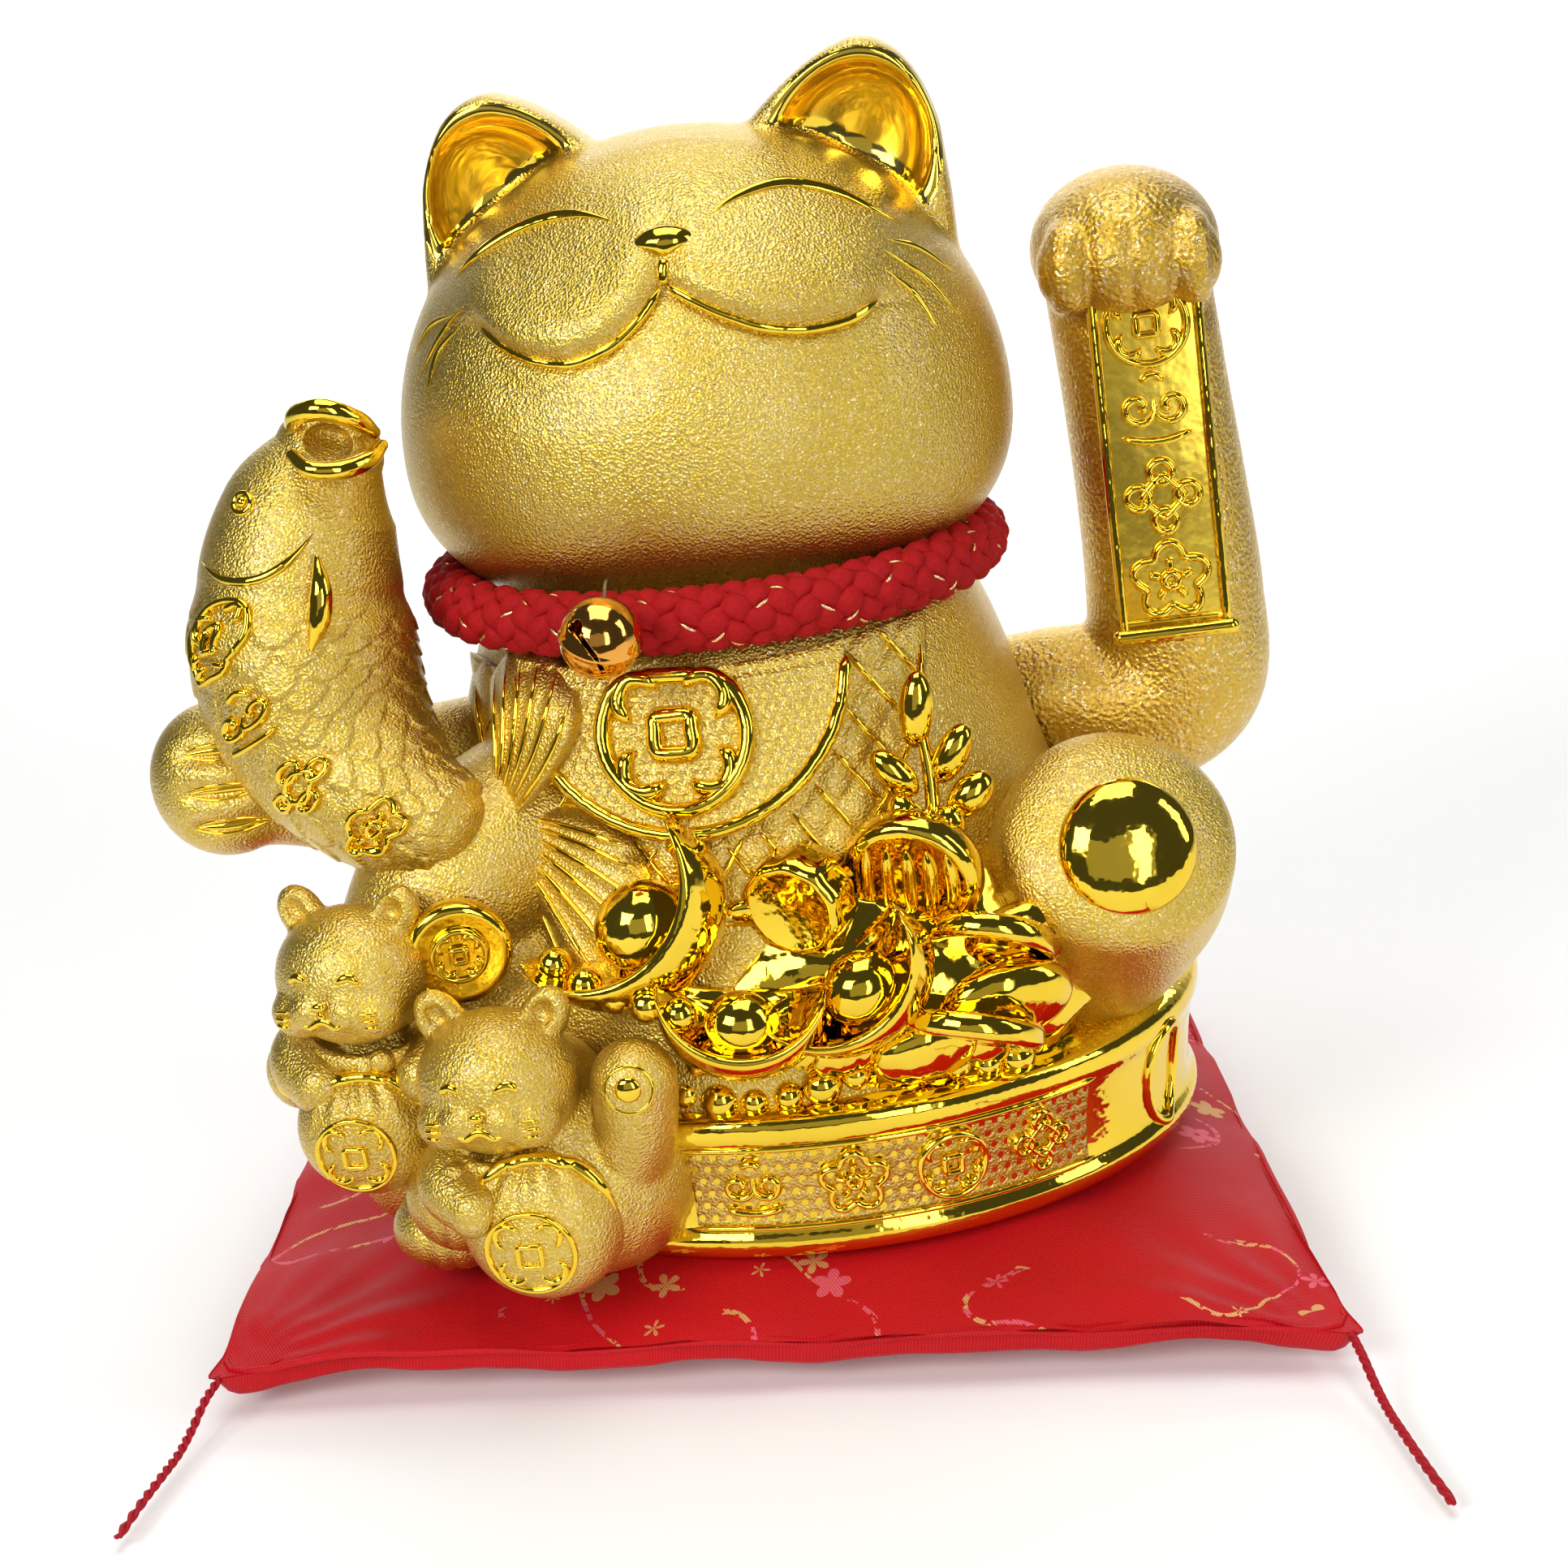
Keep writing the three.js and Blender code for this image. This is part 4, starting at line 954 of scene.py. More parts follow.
def muzzle(points):
    """Height of the two lobes over the mouth, with the fold under them."""
    x, y, z = points.T
    above = z - np.interp(x, MOUTH[:, 0], MOUTH[:, 1])
    within = smooth_step(x, -58, -36) * (1 - smooth_step(x, 42, 65)) * (y < -20)
    philtrum = 1 - 0.55 * np.exp(-(((x - 2.5) / 4.5) ** 2)) * smooth_step(above, -2, 4)
    lobes = 5.2 * (1 - np.exp(-np.maximum(above, 0) / 3.2)) * np.exp(-((np.maximum(above, 0) / 19) ** 2))
    fold = -1.6 * np.exp(-((above / 1.8) ** 2))
    chin = -1.2 * np.exp(-((above + 7) / 8) ** 2) * (above < 0)
    return within * (lobes * philtrum + fold + chin)


head_shape = swell(head_skin, muzzle)
piece("head", [head_shape], head_gold, stands_for=["head_shell"])
head_surface = Surface(head_shape)

# %% [markdown]
# ## Face
# The closed eyes, the mouth, the nose and the whiskers were painted with a resist before the
# blasting, so they stay mirror gold and stand a hair proud. Thin tapered ridges dropped on to the
# head give them an edge that catches light, which a painted mask would not have.

# %% Eyes, mouth, whiskers, nose
EYES = [[(14, 267), (20, 270), (30, 271.5), (41, 268.5), (50, 263.5), (58, 258)],
        [(-9, 267.5), (-17, 269.5), (-27, 269), (-38, 265.5), (-46, 261), (-51, 257)]]
MOUTH_LINES = [MOUTH[:7][::-1], MOUTH[6:], [(2, 252.5), (2.2, 255.5), (3, 259)]]
WHISKERS = [[(54, 256), (61, 252.5), (70, 244)], [(53, 254), (62, 246), (70.5, 234)],
            [(53, 250), (60, 242), (65, 232)], [(-48, 251), (-55, 245), (-64, 233)],
            [(-49, 247), (-57, 240), (-62, 228)], [(-51, 249), (-59, 246), (-66, 238)]]
face_lines = [ridge(head_surface, route, 1.8, 1.2, 0.45, lift=0.1) for route in EYES]
face_lines += [ridge(head_surface, route, 1.5, 1.2, 0.12, lift=0.2) for route in MOUTH_LINES]
face_lines += [ridge(head_surface, route, 0.85, 0.6, 0.5) for route in WHISKERS]
gild("face_lines", face_lines)


def nose_tip(points):
    """A rounded triangle, broad above and narrow below."""
    x, _, z = points.T
    low = np.clip((262 - z) / 6, 0, 1)
    return -np.abs(x - 3) * 0.35 * low


nose = swell(ball((3, -52.5, 261.5), (7.6, 4.6, 4.4), (-0.5, 0, 0), 40), nose_tip)
gild("polished_nose", [nose], ["nose"])

# %% [markdown]
# ## Waving arm
# The arm is a separate casting on a steel shaft, so it was plated on its own and its grain is
# coarser and its gold deeper. It is one limb with a fist whose toes are pressed apart. The creases
# are a wave across the fist that fades towards its top.

# %% The arm
ARM_LIMB = [(66, 20, 124, 17), (86, 20, 123.5, 20), (105, 20, 121, 23.4), (118, 20, 128, 24),
            (119.5, 20, 150, 23.5), (118, 20, 178, 22.4), (115.5, 19, 206, 21.6), (113, 18, 232, 21.4)]
toes = [ball((112.5 + step * 10.5, -2, 240), (7.6, 10.5, 12.5)) for step in (-1.5, -0.5, 0.5, 1.5)]
arm_skin = fused([limb(ARM_LIMB, 64, 90, (0.15, 1)), ball((112.5, 13, 243), (24.2, 27, 20), (0.15, 0, 0), 56),
                  *toes], 1.15, 14)


def creases(points):
    """Grooves between the toes, on the front and over the knuckles."""
    x, y, z = points.T
    wave = 0.5 + 0.5 * np.cos((x - 112.5) * 2 * math.pi / 10.5)
    front = (1 - smooth_step(y, -2, 16)) * smooth_step(z, 227, 233) * (1 - smooth_step(z, 244, 256))
    wrist = np.exp(-(((z - 226) / 3.0) ** 2)) * (1 - smooth_step(y, 0, 20))
    return -1.0 * wave**5 * front - 1.2 * wrist


arm_shape = swell(arm_skin, creases)
plaque_low, plaque_high = (-14.9, -2.9, -48.9), (14.9, 2.9, 48.9)
LEAN = math.radians(-1.6)
PLAQUE_AT = (116.5, -3, 192)
seat = placed(block(plaque_low, plaque_high), PLAQUE_AT, (0, LEAN, 0))
bore = placed(turned([(3.4, 0), (3.4, 60)], 24), (50, 20, 124), (0, math.pi / 2, 0))
piece("waving_paw", [carved(arm_shape, [seat, bore])], arm_gold, "arm", stands_for=["waving_arm"])

# %% [markdown]
# The plaque on the arm is a satin strip with a sunken field, a roll at each end, and four raised
# ornaments under one another. Every wipe of a cloth has polished the rolls and the ornaments. It
# is a rounded plate with rods round it, because the real one was modelled from a flat strip of
# clay and four thin rolls.

# %% The plaque on the arm
plate = rounded(block((-13.6, -0.6, -46.5), (13.6, 2.5, 46.5)), 0.8)
frame_rods = []
for x in (-13.2, 13.2):
    frame_rods.append(limb([(x, -1, -46, 1.3), (x, -1, 0, 1.3), (x, -1, 46, 1.3)], 14, 10, aside=(1, 0, 0)))
for z, reach in ((-46.6, 14.2), (46.6, 15.2)):
    inner = z * 0.93
    frame_rods.append(limb([(-reach, -1.4, z, 2.1), (0, -1.4, z, 2.1), (reach, -1.4, z, 2.1)], 16, 10))
    frame_rods.append(limb([(-12, -1, inner, 0.7), (0, -1, inner, 0.7), (12, -1, inner, 0.7)], 12, 8))
plate_surface = Surface(plate)
signs = []
for z, kind in ((33, "coin"), (11, "cloud"), (-11, "knot"), (-33, "blossom")):
    signs += inlay(plate_surface, kind, (0, z), 10.2, 1.15, 1.9)
leaning_plate = placed(plate, PLAQUE_AT, (0, LEAN, 0))
piece("paw_plaque", [leaning_plate], satin_gold, "arm", ["arm_plaque"])
raised = [placed(shape, PLAQUE_AT, (0, LEAN, 0)) for shape in (*frame_rods, *signs)]
gild("paw_plaque_lines", raised, body="arm")

# %% [markdown]
# ## Base band and raised foot
# The base is a polished oval band that the torso sits in. Its front carries a hammered field
# between two thin rolls. The cat's left foot is lifted beside it, with one round polished pad.

# %% The base band
BAND = {"x": 12, "y": -5, "wide": 105, "deep": 94}
band_profile = spline([(0.93, BASE_Z), (0.965, 22), (0.98, 26), (0.965, 29.5), (0.967, 40), (0.985, 50),
                       (1, 54.5), (0.99, 58.5), (0.96, 60)], np.linspace(0, 1, 60))


def band_shape():
    """The oval band."""
    profile = [(share * BAND["wide"], z) for share, z in band_profile]
    points, faces = turned([(40, BASE_Z), *profile, (40, 60)], 180)
    ratio = BAND["deep"] / BAND["wide"]
    return points * np.array([1, ratio, 1]) + np.array([BAND["x"], BAND["y"], 0]), faces


rear = block((-140, 60, 0), (140, 150, 90))
gild("base_band", [carved(band_shape(), [rear])], ["plinth_band"])
band_surface = Surface(band_shape())


def band_spot(angle, z, out=0.0):
    """A point on the band at an angle from the front, towards the cat's left."""
    share = np.interp(z, band_profile[:, 1], band_profile[:, 0])
    a = angle - math.pi / 2
    return (BAND["x"] + (BAND["wide"] * share + out) * math.cos(a),
            BAND["y"] + (BAND["deep"] * share + out) * math.sin(a), z)


def slab(place, us, vs, relief, depth=2.0):
    """A closed sheet: place(u, v) gives a point and its outward direction, relief its height."""
    grid = [[place(u, v) for v in vs] for u in us]
    base = np.array([[g[0] for g in row] for row in grid], float)
    out = np.array([[g[1] for g in row] for row in grid], float)
    high = np.array([[relief(u, v) for v in vs] for u in us], float)[:, :, None]
    front, back = base + out * high, base - out * depth
    rows = np.concatenate([front, back[:, ::-1]], 1)
    return loft(rows)


def hammered(u, v, size=3.4):
    """Round dimples in staggered rows."""
    row = math.floor(v / size)
    across = (u / size + 0.5 * (row % 2)) % 1 - 0.5
    up = (v / size) % 1 - 0.5
    return -0.55 * math.exp(-(across**2 + up**2) / 0.09)


def band_field(u, v):
    """A place on the field of the band, and the way it faces."""
    p = Vector(band_spot(u / 100, v, 0.25))
    return p, Vector((p.x - BAND["x"], (p.y - BAND["y"]) * 1.2, 0)).normalized()


FIELD_LOW, FIELD_HIGH = 30.5, 50.5
field = slab(band_field, np.arange(-25, 78, 0.8), np.arange(FIELD_LOW, FIELD_HIGH, 0.8), hammered, 1.2)
piece("hammered_field", [field], sand_gold)
rolls = []
for z in (29.6, 51.3):
    route = [band_spot(a / 100, z) for a in np.linspace(-27, 80, 16)]
    rolls.append(ridge(band_surface, route, 0.9, 1.0, 0.05))
for k, kind in enumerate(("cloud", "blossom", "coin", "knot")):
    a = (-10 + 24 * k) / 100
    axes = Vector((math.cos(a), math.sin(a) * 0.9, 0)), Vector((0, 0, 1))
    rolls += inlay(band_surface, kind, band_spot(a, 40.5, 1), 8.6, 1.1, 2.2, reach=axes)
loop = [band_spot(1.12 + 0.085 * math.cos(t), 41 + 13 * math.sin(t), 1) for t in np.arange(12) * math.pi / 6]
rolls.append(ridge(band_surface, loop, 1.5, 1.5, closed=True))
gild("band_ornaments", rolls)

# %% The raised foot and its pad
LEG = [(76, -14, 66, 27), (86, -36, 80, 28), (93, -52, 98, 30.5), (96, -66, 110, 29)]
piece("lifted_foot", [limb(LEG, 80, 70, (0.6, 0.42))], sand_gold, stands_for=["raised_foot"])
pad = ball((98, -79, 113), (16.5, 6.8, 16.5), (-0.35, 0, 0.1), 56)
gild("polished_pad", [pad], ["foot_pad"])

# %% [markdown]
# ## Carp
# The carp stands on its tail in the bend of the cat's right arm. Its back is covered with rows
# of scales, and each scale lies over the next one towards the tail. A height map over the length
# and the girth of the limb gives that: the height climbs along each scale and drops at its edge,
# and where two scales meet, the higher one shows.

# %% The carp's body
CARP = [(-86, -42, 219, 13.5), (-92, -43, 207, 21), (-97, -45, 190, 25), (-98, -49, 168, 25.5),
        (-91, -55, 149, 22.5), (-77, -65, 136, 16.5), (-62, -72, 130, 10)]
SCALE_ROWS, SCALES_ROUND = 12, 14
FIRST_SCALE = 0.38


def scale_height(share, angle):
    """Height of the overlapping scales behind the gill."""
    along = (share - FIRST_SCALE) * SCALE_ROWS / (1 - FIRST_SCALE)
    around = angle / (2 * math.pi) * SCALES_ROUND
    along, around = np.broadcast_arrays(along, around)
    height = np.zeros(along.shape)
    for row in (-1, 0, 1):
        middle = np.floor(along) + row
        shift = 0.5 * (np.mod(middle, 2))
        off = np.mod(around - shift + 0.5, 1) - 0.5
        down = (along - middle) / 0.95
        within = np.clip((1 - (off / 0.56) ** 2 - (down * 0.62) ** 2) / 0.13, 0, 1)
        height = np.maximum(height, within * (0.25 + 0.5 * (down + 1.6) / 3.2))
    return 4.2 * height * smooth_step(along, -0.6, 1.0) * (share <= 1)


carp_skin = limb(CARP, 200, 300, (0.9, 0.6), relief=scale_height)
carp_mouth = ball((-83, -56, 223), (6.5, 10, 4.2), (0.2, 0.4, 0))
carp_surface = Surface(carp_skin)
piece("carp_body", [carved(carp_skin, [carp_mouth])], sand_gold, stands_for=["carp"])

# %% The carp's face and fins
def ring_at(surface, at, r, width, height, reach=((1, 0, 0), (0, 0, 1))):
    """A closed raised ring round a point of a surface."""
    route = [np.array(at) + r * (x * np.array(reach[0]) + z * np.array(reach[1])) for x, z in circle(1, 14)]
    return ridge(surface, route, width, height, closed=True, steps=26)


lips = []
for points, size in (
    ([(-93, -47, 226), (-89, -55, 231), (-82, -58, 232), (-75, -54, 228), (-73, -48, 224)], 2.5),
    ([(-91, -58, 222), (-86, -63, 219), (-79, -62, 218), (-73, -56, 219), (-71, -50, 221)], 2.2),
):
    lips.append(limb([(*p, size * s) for p, s in zip(points, (0.7, 1, 1.1, 1, 0.7))], 20, 24))
lips.append(ring_at(carp_surface, (-106, -62, 214), 3.4, 0.85, 0.9, ((0.75, -0.66, 0), (0, 0, 1))))
eye_place = carp_surface.drop([(-106, -62, 214)])[0][0]
lips.append(ball(eye_place, (1.5, 1.5, 1.5)))
gill = [(-117.5, -55, 198), (-110, -66, 195), (-101, -70, 195.5), (-93, -69, 199), (-86, -66, 205)]
lips.append(ridge(carp_surface, gill, 1.2, 0.9, 0.4))
small_fin = [(-86, -70, 199, 0.8), (-85.5, -73, 192, 2.6), (-87, -73.5, 185, 2.9), (-90, -74, 178, 0.7)]
lips.append(limb(small_fin, 20, 24))
ACROSS = (0.93, -0.25, 0.27)
for k, (kind, at) in enumerate((("coin", (-112, -66, 180)), ("cloud", (-108, -74, 162)),
                                ("knot", (-97, -79, 146)), ("blossom", (-80, -86, 135)))):
    lips += inlay(carp_surface, kind, at, 9.2, 1.05, 1.9, spin=0.3 * k, reach=(ACROSS, (0.27, 0.1, 0.95)))
gild("carp_polish", lips)

# %% [markdown]
# The hip behind the carp and the kittens is one soft swelling of the body. It is a limb and a ball
# melted together, which stay apart from the torso so that the torso keeps its crisp holes.

# %% The hip
thigh = limb([(-44, -44, 122, 26), (-66, -58, 112, 25), (-80, -68, 96, 20)])
hip = fused([thigh, ball((-56, -50, 70), (34, 34, 44))], 1.4, 14)
piece("right_hip", [hip], sand_gold)

# %% [markdown]
# The carp's tail lies over the cat's chest as two fans. Each is a thin pad that widens from the
# root, with rays that spread to its edge. The rays are polished and the skin between is blasted.

# %% The two tail fans
def fan(root, tips, middle_bend, thick, name, stands_for):
    """A tail fan on the chest: rays from the root to a row of tips."""
    root, tips = np.array(root, float), np.asarray(spline(tips, np.linspace(0, 1, 60)))
    bend = np.array(middle_bend, float)
    along = np.linspace(0.0, 1, 50)[:, None, None]
    start = root + (tips - tips.mean(0)) * 0.16
    grid = (1 - along) ** 2 * start[None] + 2 * along * (1 - along) * ((start + tips) / 2 + bend)[None] \
        + along**2 * tips[None]
    across = np.linspace(0, 1, 60)[None, :]
    rays = 0.5 + 0.5 * np.cos(across * 2 * math.pi * 7)
    edge = np.sin(np.clip(across * (1 - across) * 4 * 2.2, 0, 1) * math.pi / 2)
    height = thick * edge * (0.45 + 0.55 * np.sin(np.clip((1.02 - along[:, :, 0]) * 4, 0, 1) * math.pi / 2)) \
        + rays * 0.9 * edge * along[:, :, 0]
    front = np.empty((50, 60, 3))
    back = np.empty((50, 60, 3))
    for i in range(50):
        for j in range(60):
            x, z = grid[i, j]
            y = torso_surface.tree.ray_cast(Vector((x, FRONT_FAR, z)), Vector((0, 1, 0)))[0].y
            front[i, j], back[i, j] = (x, y - height[i, j], z), (x, y + 2, z)
    skin = loft(np.concatenate([front, back[:, ::-1]], 1))
    piece(name, [skin], sand_gold, stands_for=stands_for)
    surface = Surface(skin)
    rays = []
    for k in range(8):
        line = grid[6:, int(k * 59 / 7)]
        line = line + (grid[6:, 30] - line) * 0.04
        rays.append(ridge(surface, line[::6], 0.8, 0.9, 0.35))
    gild(name + "_rays", rays)


fan((-54, 129), [(-57, 156), (-47, 167), (-35, 167), (-25, 154)], (4, -3), 15.0, "upper_tail_fan",
    ["carp_tail"])
fan((-53, 127), [(-22, 131), (-15, 116), (-22, 99), (-39, 89)], (2, 4), 8.5, "lower_tail_fan",
    ["carp_lower_tail"])

# %% [markdown]
# ## Raised paw
# The right arm goes behind the carp and ends in a round paw. Three slots between its toes are
# polished, so each slot is a groove in the clay with a thin gold lens laid in it.

# %% The raised paw
PAW_ARM = [(-62, -14, 128, 20), (-86, -26, 130, 19), (-110, -38, 138, 18), (-124, -42, 141, 19)]
SLOTS = [151, 141.5, 132]
paw_ball = ball((-124, -46, 141), (19, 17, 20), sides=60)
paw_skin = fused([limb(PAW_ARM, 48, 50, aside=(0, 0, 1)), paw_ball], 1.1, 12)


def toe_slots(points):
    """Three lying grooves at the front of the paw."""
    x, y, z = points.T
    deep = sum(np.exp(-(((z - s) / 2.2) ** 2)) for s in SLOTS)
    return -2.6 * deep * np.exp(-(((x + 122) / 9) ** 4)) * (y < -46)


paw_shape = swell(paw_skin, toe_slots)
piece("held_paw", [paw_shape], sand_gold, stands_for=["raised_paw"])
paw_surface = Surface(paw_shape)
lenses = []
for z in SLOTS:
    for step in (-1.9, 1.9):
        route = [(-131, z), (-126, z + step * 0.8), (-120, z + step), (-114, z + step * 0.5), (-110.5, z)]
        lenses.append(ridge(paw_surface, route, 0.55, 0.5, 0.45))
    lenses.append(ridge(paw_surface, [(-130, z), (-120, z), (-111, z)], 1.2, 0.5, 0.5))
gild("paw_slots", lenses)

# %% [markdown]
# ## Kittens
# Two kittens sit at the cat's feet with sacks of coins. They share one recipe: a ball for the
# head with two small hollow ears and a muzzle, melted on to a soft body. Their closed eyes,
# noses, mouths and whiskers are thin polished lines, as on the big face.

# %% A kitten's head and its face
def kitten_head(at, r, look=0.0):
    """Head, ears and muzzle of a kitten that looks a little to one side."""
    shapes = [ball((0, 0, 0), (r, r * 0.88, r * 0.9))]
    for side in (-1, 1):
        cup = ball((side * r * 0.66, 3, r * 0.76), (r * 0.3, r * 0.24, r * 0.4), (0, side * 0.5, 0))
        hollow = ball((side * r * 0.66, -2.5, r * 0.84), (r * 0.17, r * 0.25, r * 0.24), (0, side * 0.5, 0))
        shapes.append(carved(cup, [hollow]))
        shapes.append(ball((side * r * 0.24, -r * 0.78, -r * 0.22), (r * 0.3, r * 0.2, r * 0.24)))
        shapes.append(ball((side * r * 0.5, -r * 0.5, -r * 0.3), (r * 0.4, r * 0.38, r * 0.34)))
    return [placed(shape, at, (0, 0, look)) for shape in shapes]


def kitten_face(surface, at, r, look=0.0):
    """Closed eyes, nose, mouth and whiskers."""
    lines = [[(-0.62, 0.18), (-0.45, 0.33), (-0.22, 0.22)], [(0.62, 0.18), (0.45, 0.33), (0.22, 0.22)],
             [(-0.3, -0.32), (-0.15, -0.42), (0, -0.27), (0.15, -0.42), (0.3, -0.32)],
             [(0, -0.27), (0, -0.1)]]
    for side in (-1, 1):
        for lift in (-0.16, -0.3, -0.44):
            lines.append([(side * 0.5, lift), (side * 0.68, lift + 0.03), (side * 0.84, lift + 0.0)])
    made = []
    for k, line in enumerate(lines):
        flat = np.array(line) * r
        spot = np.column_stack([flat[:, 0], np.full(len(flat), -r), flat[:, 1]])
        spot = spot @ three_turn((0, 0, look)).T + np.array(at)
        made.append(ridge(surface, spot, 1.15 if k < 4 else 0.6, 0.9, 0.35))
    nose = np.array([0, -r * 0.97, -r * 0.07]) @ three_turn((0, 0, look)).T + np.array(at)
    made.append(ball(nose, (1.7, 1.0, 1.1)))
    return made


KITTENS = {
    "left": {"at": (-89, -88, 101), "r": 19, "look": -0.25},
    "right": {"at": (-54, -106, 78), "r": 19.5, "look": -0.12},
}
left = KITTENS["left"]
left_skin = fused([*kitten_head(left["at"], left["r"], left["look"]),
                   limb([(-86, -66, 92, 17), (-86, -64, 68, 22), (-82, -60, 42.4, 21)]),
                   limb([(-100, -72, 84, 8), (-106, -82, 78, 8.5), (-100, -90, 74, 8)]),
                   limb([(-74, -80, 84, 7), (-70, -88, 80, 7.5), (-74, -94, 76, 7)])], 0.85, 9)
piece("kitten_with_scarf", [left_skin], sand_gold, stands_for=["left_kitten"])
right = KITTENS["right"]
right_skin = fused([*kitten_head(right["at"], right["r"], right["look"]),
                    limb([(-48, -92, 66, 18), (-40, -92, 46, 24), (-36, -90, 44.4, 23.5)]),
                    limb([(-30, -98, 50, 12), (-23, -104, 64, 10), (-22, -106, 75, 10.5)]),
                    limb([(-64, -98, 60, 8), (-68, -108, 54, 8.5), (-62, -116, 50, 7)])], 0.85, 9)
piece("kitten_with_sack", [right_skin], sand_gold, stands_for=["right_kitten"])

# %% Faces, scarves and the raised pad
polish = []
for kitten, skin in ((left, left_skin), (right, right_skin)):
    polish += kitten_face(Surface(skin), kitten["at"], kitten["r"], kitten["look"])
polish.append(ball((-22, -116, 77), (3.2, 1.6, 3.2), sides=24))
polish.append(ring_at(Surface(right_skin), (-22, -115, 77), 6.2, 0.5, 0.4))
gild("kitten_polish", polish)


def scarf(middle, wide, tube, lean):
    """A rolled scarf round a kitten's neck with a rounded edge."""
    around = np.linspace(0, 2 * math.pi, 60, endpoint=False)
    places = np.column_stack([wide[0] * np.cos(around), wide[1] * np.sin(around), 0 * around])
    out = np.column_stack([np.cos(around), np.sin(around), 0 * around])
    turn = three_turn((lean, 0, 0)).T
    return bead(places @ turn + np.array(middle), out @ turn, tube * 1.1, tube * 0.75, closed=True, sides=14)


scarves = [scarf((-88, -78, 84), (17, 15.5), 3.2, 0.35), scarf((-52, -99, 61), (17, 15), 3.2, 0.3)]
knots = [ball((-84, -93, 80), (3.6, 3, 3.2)), ball((-89, -94, 77), (2.6, 2, 4.4), (0, 0.5, 0)),
         ball((-66, -113, 58), (3.4, 3, 3)), ball((-70, -113, 55), (2.5, 2, 4), (0, 0.6, 0))]
piece("kitten_scarves", scarves + knots, sand_gold)

# %% Sacks, feet and their edges
sacks = {
    "left_sack": (((-90, -90, 62), (18, 12, 17)), "left_pouch", "coin", 9.5),
    "right_sack": (((-47, -108, 43), (20, 15, 20)), "right_pouch", "coin", 10.5),
}
sack_polish = []
for name, ((at, radii), stands_for, kind, size) in sacks.items():
    def gathers(points, at=at, radii=radii):
        """Soft pleats that run down from the tie."""
        x, y, z = (points - np.array(at)).T
        return 0.55 * np.sin(np.arctan2(y, x) * 14) * smooth_step(z, radii[2] * 0.1, radii[2] * 0.9)
    skin = swell(ball(at, radii, sides=90), gathers)
    piece(name, [skin], sand_gold, stands_for=[stands_for])
    surface = Surface(skin)
    x, y, z = at
    sack_polish += inlay(surface, kind, (x - 2, z - 3), size, 0.8, 1.1)
    hem = [(x + radii[0] * 0.92 * math.cos(a), z + radii[2] * 0.9 * math.sin(a))
           for a in np.linspace(0.15, 2.6, 12)]
    sack_polish.append(ridge(surface, hem, 1.8, 1.6, 0.3))


def foot_creases(points, at):
    """Upright grooves between the toes of a small foot."""
    across, deep = points[:, 0] - at[0], points[:, 1] - at[1]
    groove = np.exp(-(((np.mod(across + 2.6, 5.2) - 2.6) / 0.9) ** 2))
    return -1.1 * groove * (deep < -6) * (np.abs(across) < 8)


for at, radii, name, node in (((-68, -94, 44), (15, 13, 14), "near_foot", "kitten_foot"),
                              ((-74, -84, 32), (16, 14, 11), "rear_foot", "kitten_rear_foot"),
                              ((-109, -74, 72), (9, 9, 10), "sack_knot", "left_pouch_knot")):
    skin = ball(at, radii, sides=64)
    surface = Surface(skin)
    if name != "sack_knot":
        skin = swell(skin, lambda p, at=at: foot_creases(p, at))
    else:
        sack_polish.append(ring_at(surface, (-110, -83, 72), 4.2, 0.7, 0.7))
    piece(name, [skin], sand_gold, stands_for=[node])
gild("sack_polish", sack_polish)

# %% [markdown]
# ## Treasure
# The heap in front of the cat is the part that shines most: boat-shaped ingots, coins, a fluted
# box, shells and strings of pearls, all in mirror gold. A boat ingot is a hull whose rim sweeps
# up to both ends, round a dome.

# %% Ingots
def boat(size):
    """A boat-shaped ingot about the origin, along X, with its dome upwards."""
    rows = []
    for x in np.sin(np.linspace(-1, 1, 41)[1:-1] * math.pi / 2):
        open_up = math.sqrt(max(1 - x * x, 0))
        rim = 0.10 + 0.42 * x * x + 0.16 * x**6
        keel = -0.60 * open_up**0.9 + 0.25 * x * x
        half = 0.60 * open_up**0.8
        ring_points = []
        for a in np.linspace(0, math.pi, 22):
            ring_points.append((x, -half * math.cos(a), rim + (keel - rim) * math.sin(a) ** 0.9))
        for a in np.linspace(1, -1, 16)[1:-1]:
            lip = 0.06 * math.exp(-(((abs(a) - 0.88) / 0.1) ** 2))
            ring_points.append((x, half * a * 0.97, rim - 0.16 * open_up * (1 - a**4) + lip))
        rows.append(ring_points)
    points, faces = loft(rows)
    dome = ball((0, 0, 0.14), (0.45, 0.40, 0.40), sides=44)
    return [(points * size, faces), (dome[0] * size, dome[1])]


INGOTS = {
    "boat_ingot": ((-16, -88, 105), 26, (0.3, -0.75, 0), "large_ingot"),
    "front_boat": ((4, -98, 82), 20, (0.45, 0.1, 0), "front_ingot"),
    "right_boat": ((34, -95, 88), 21.5, (0.6, -0.65, 0), "right_ingot"),
}
for name, (at, size, turn, node) in INGOTS.items():
    shapes = [placed(shape, at, turn, "ZYX") for shape in boat(size)]
    gild(name, shapes, [node])

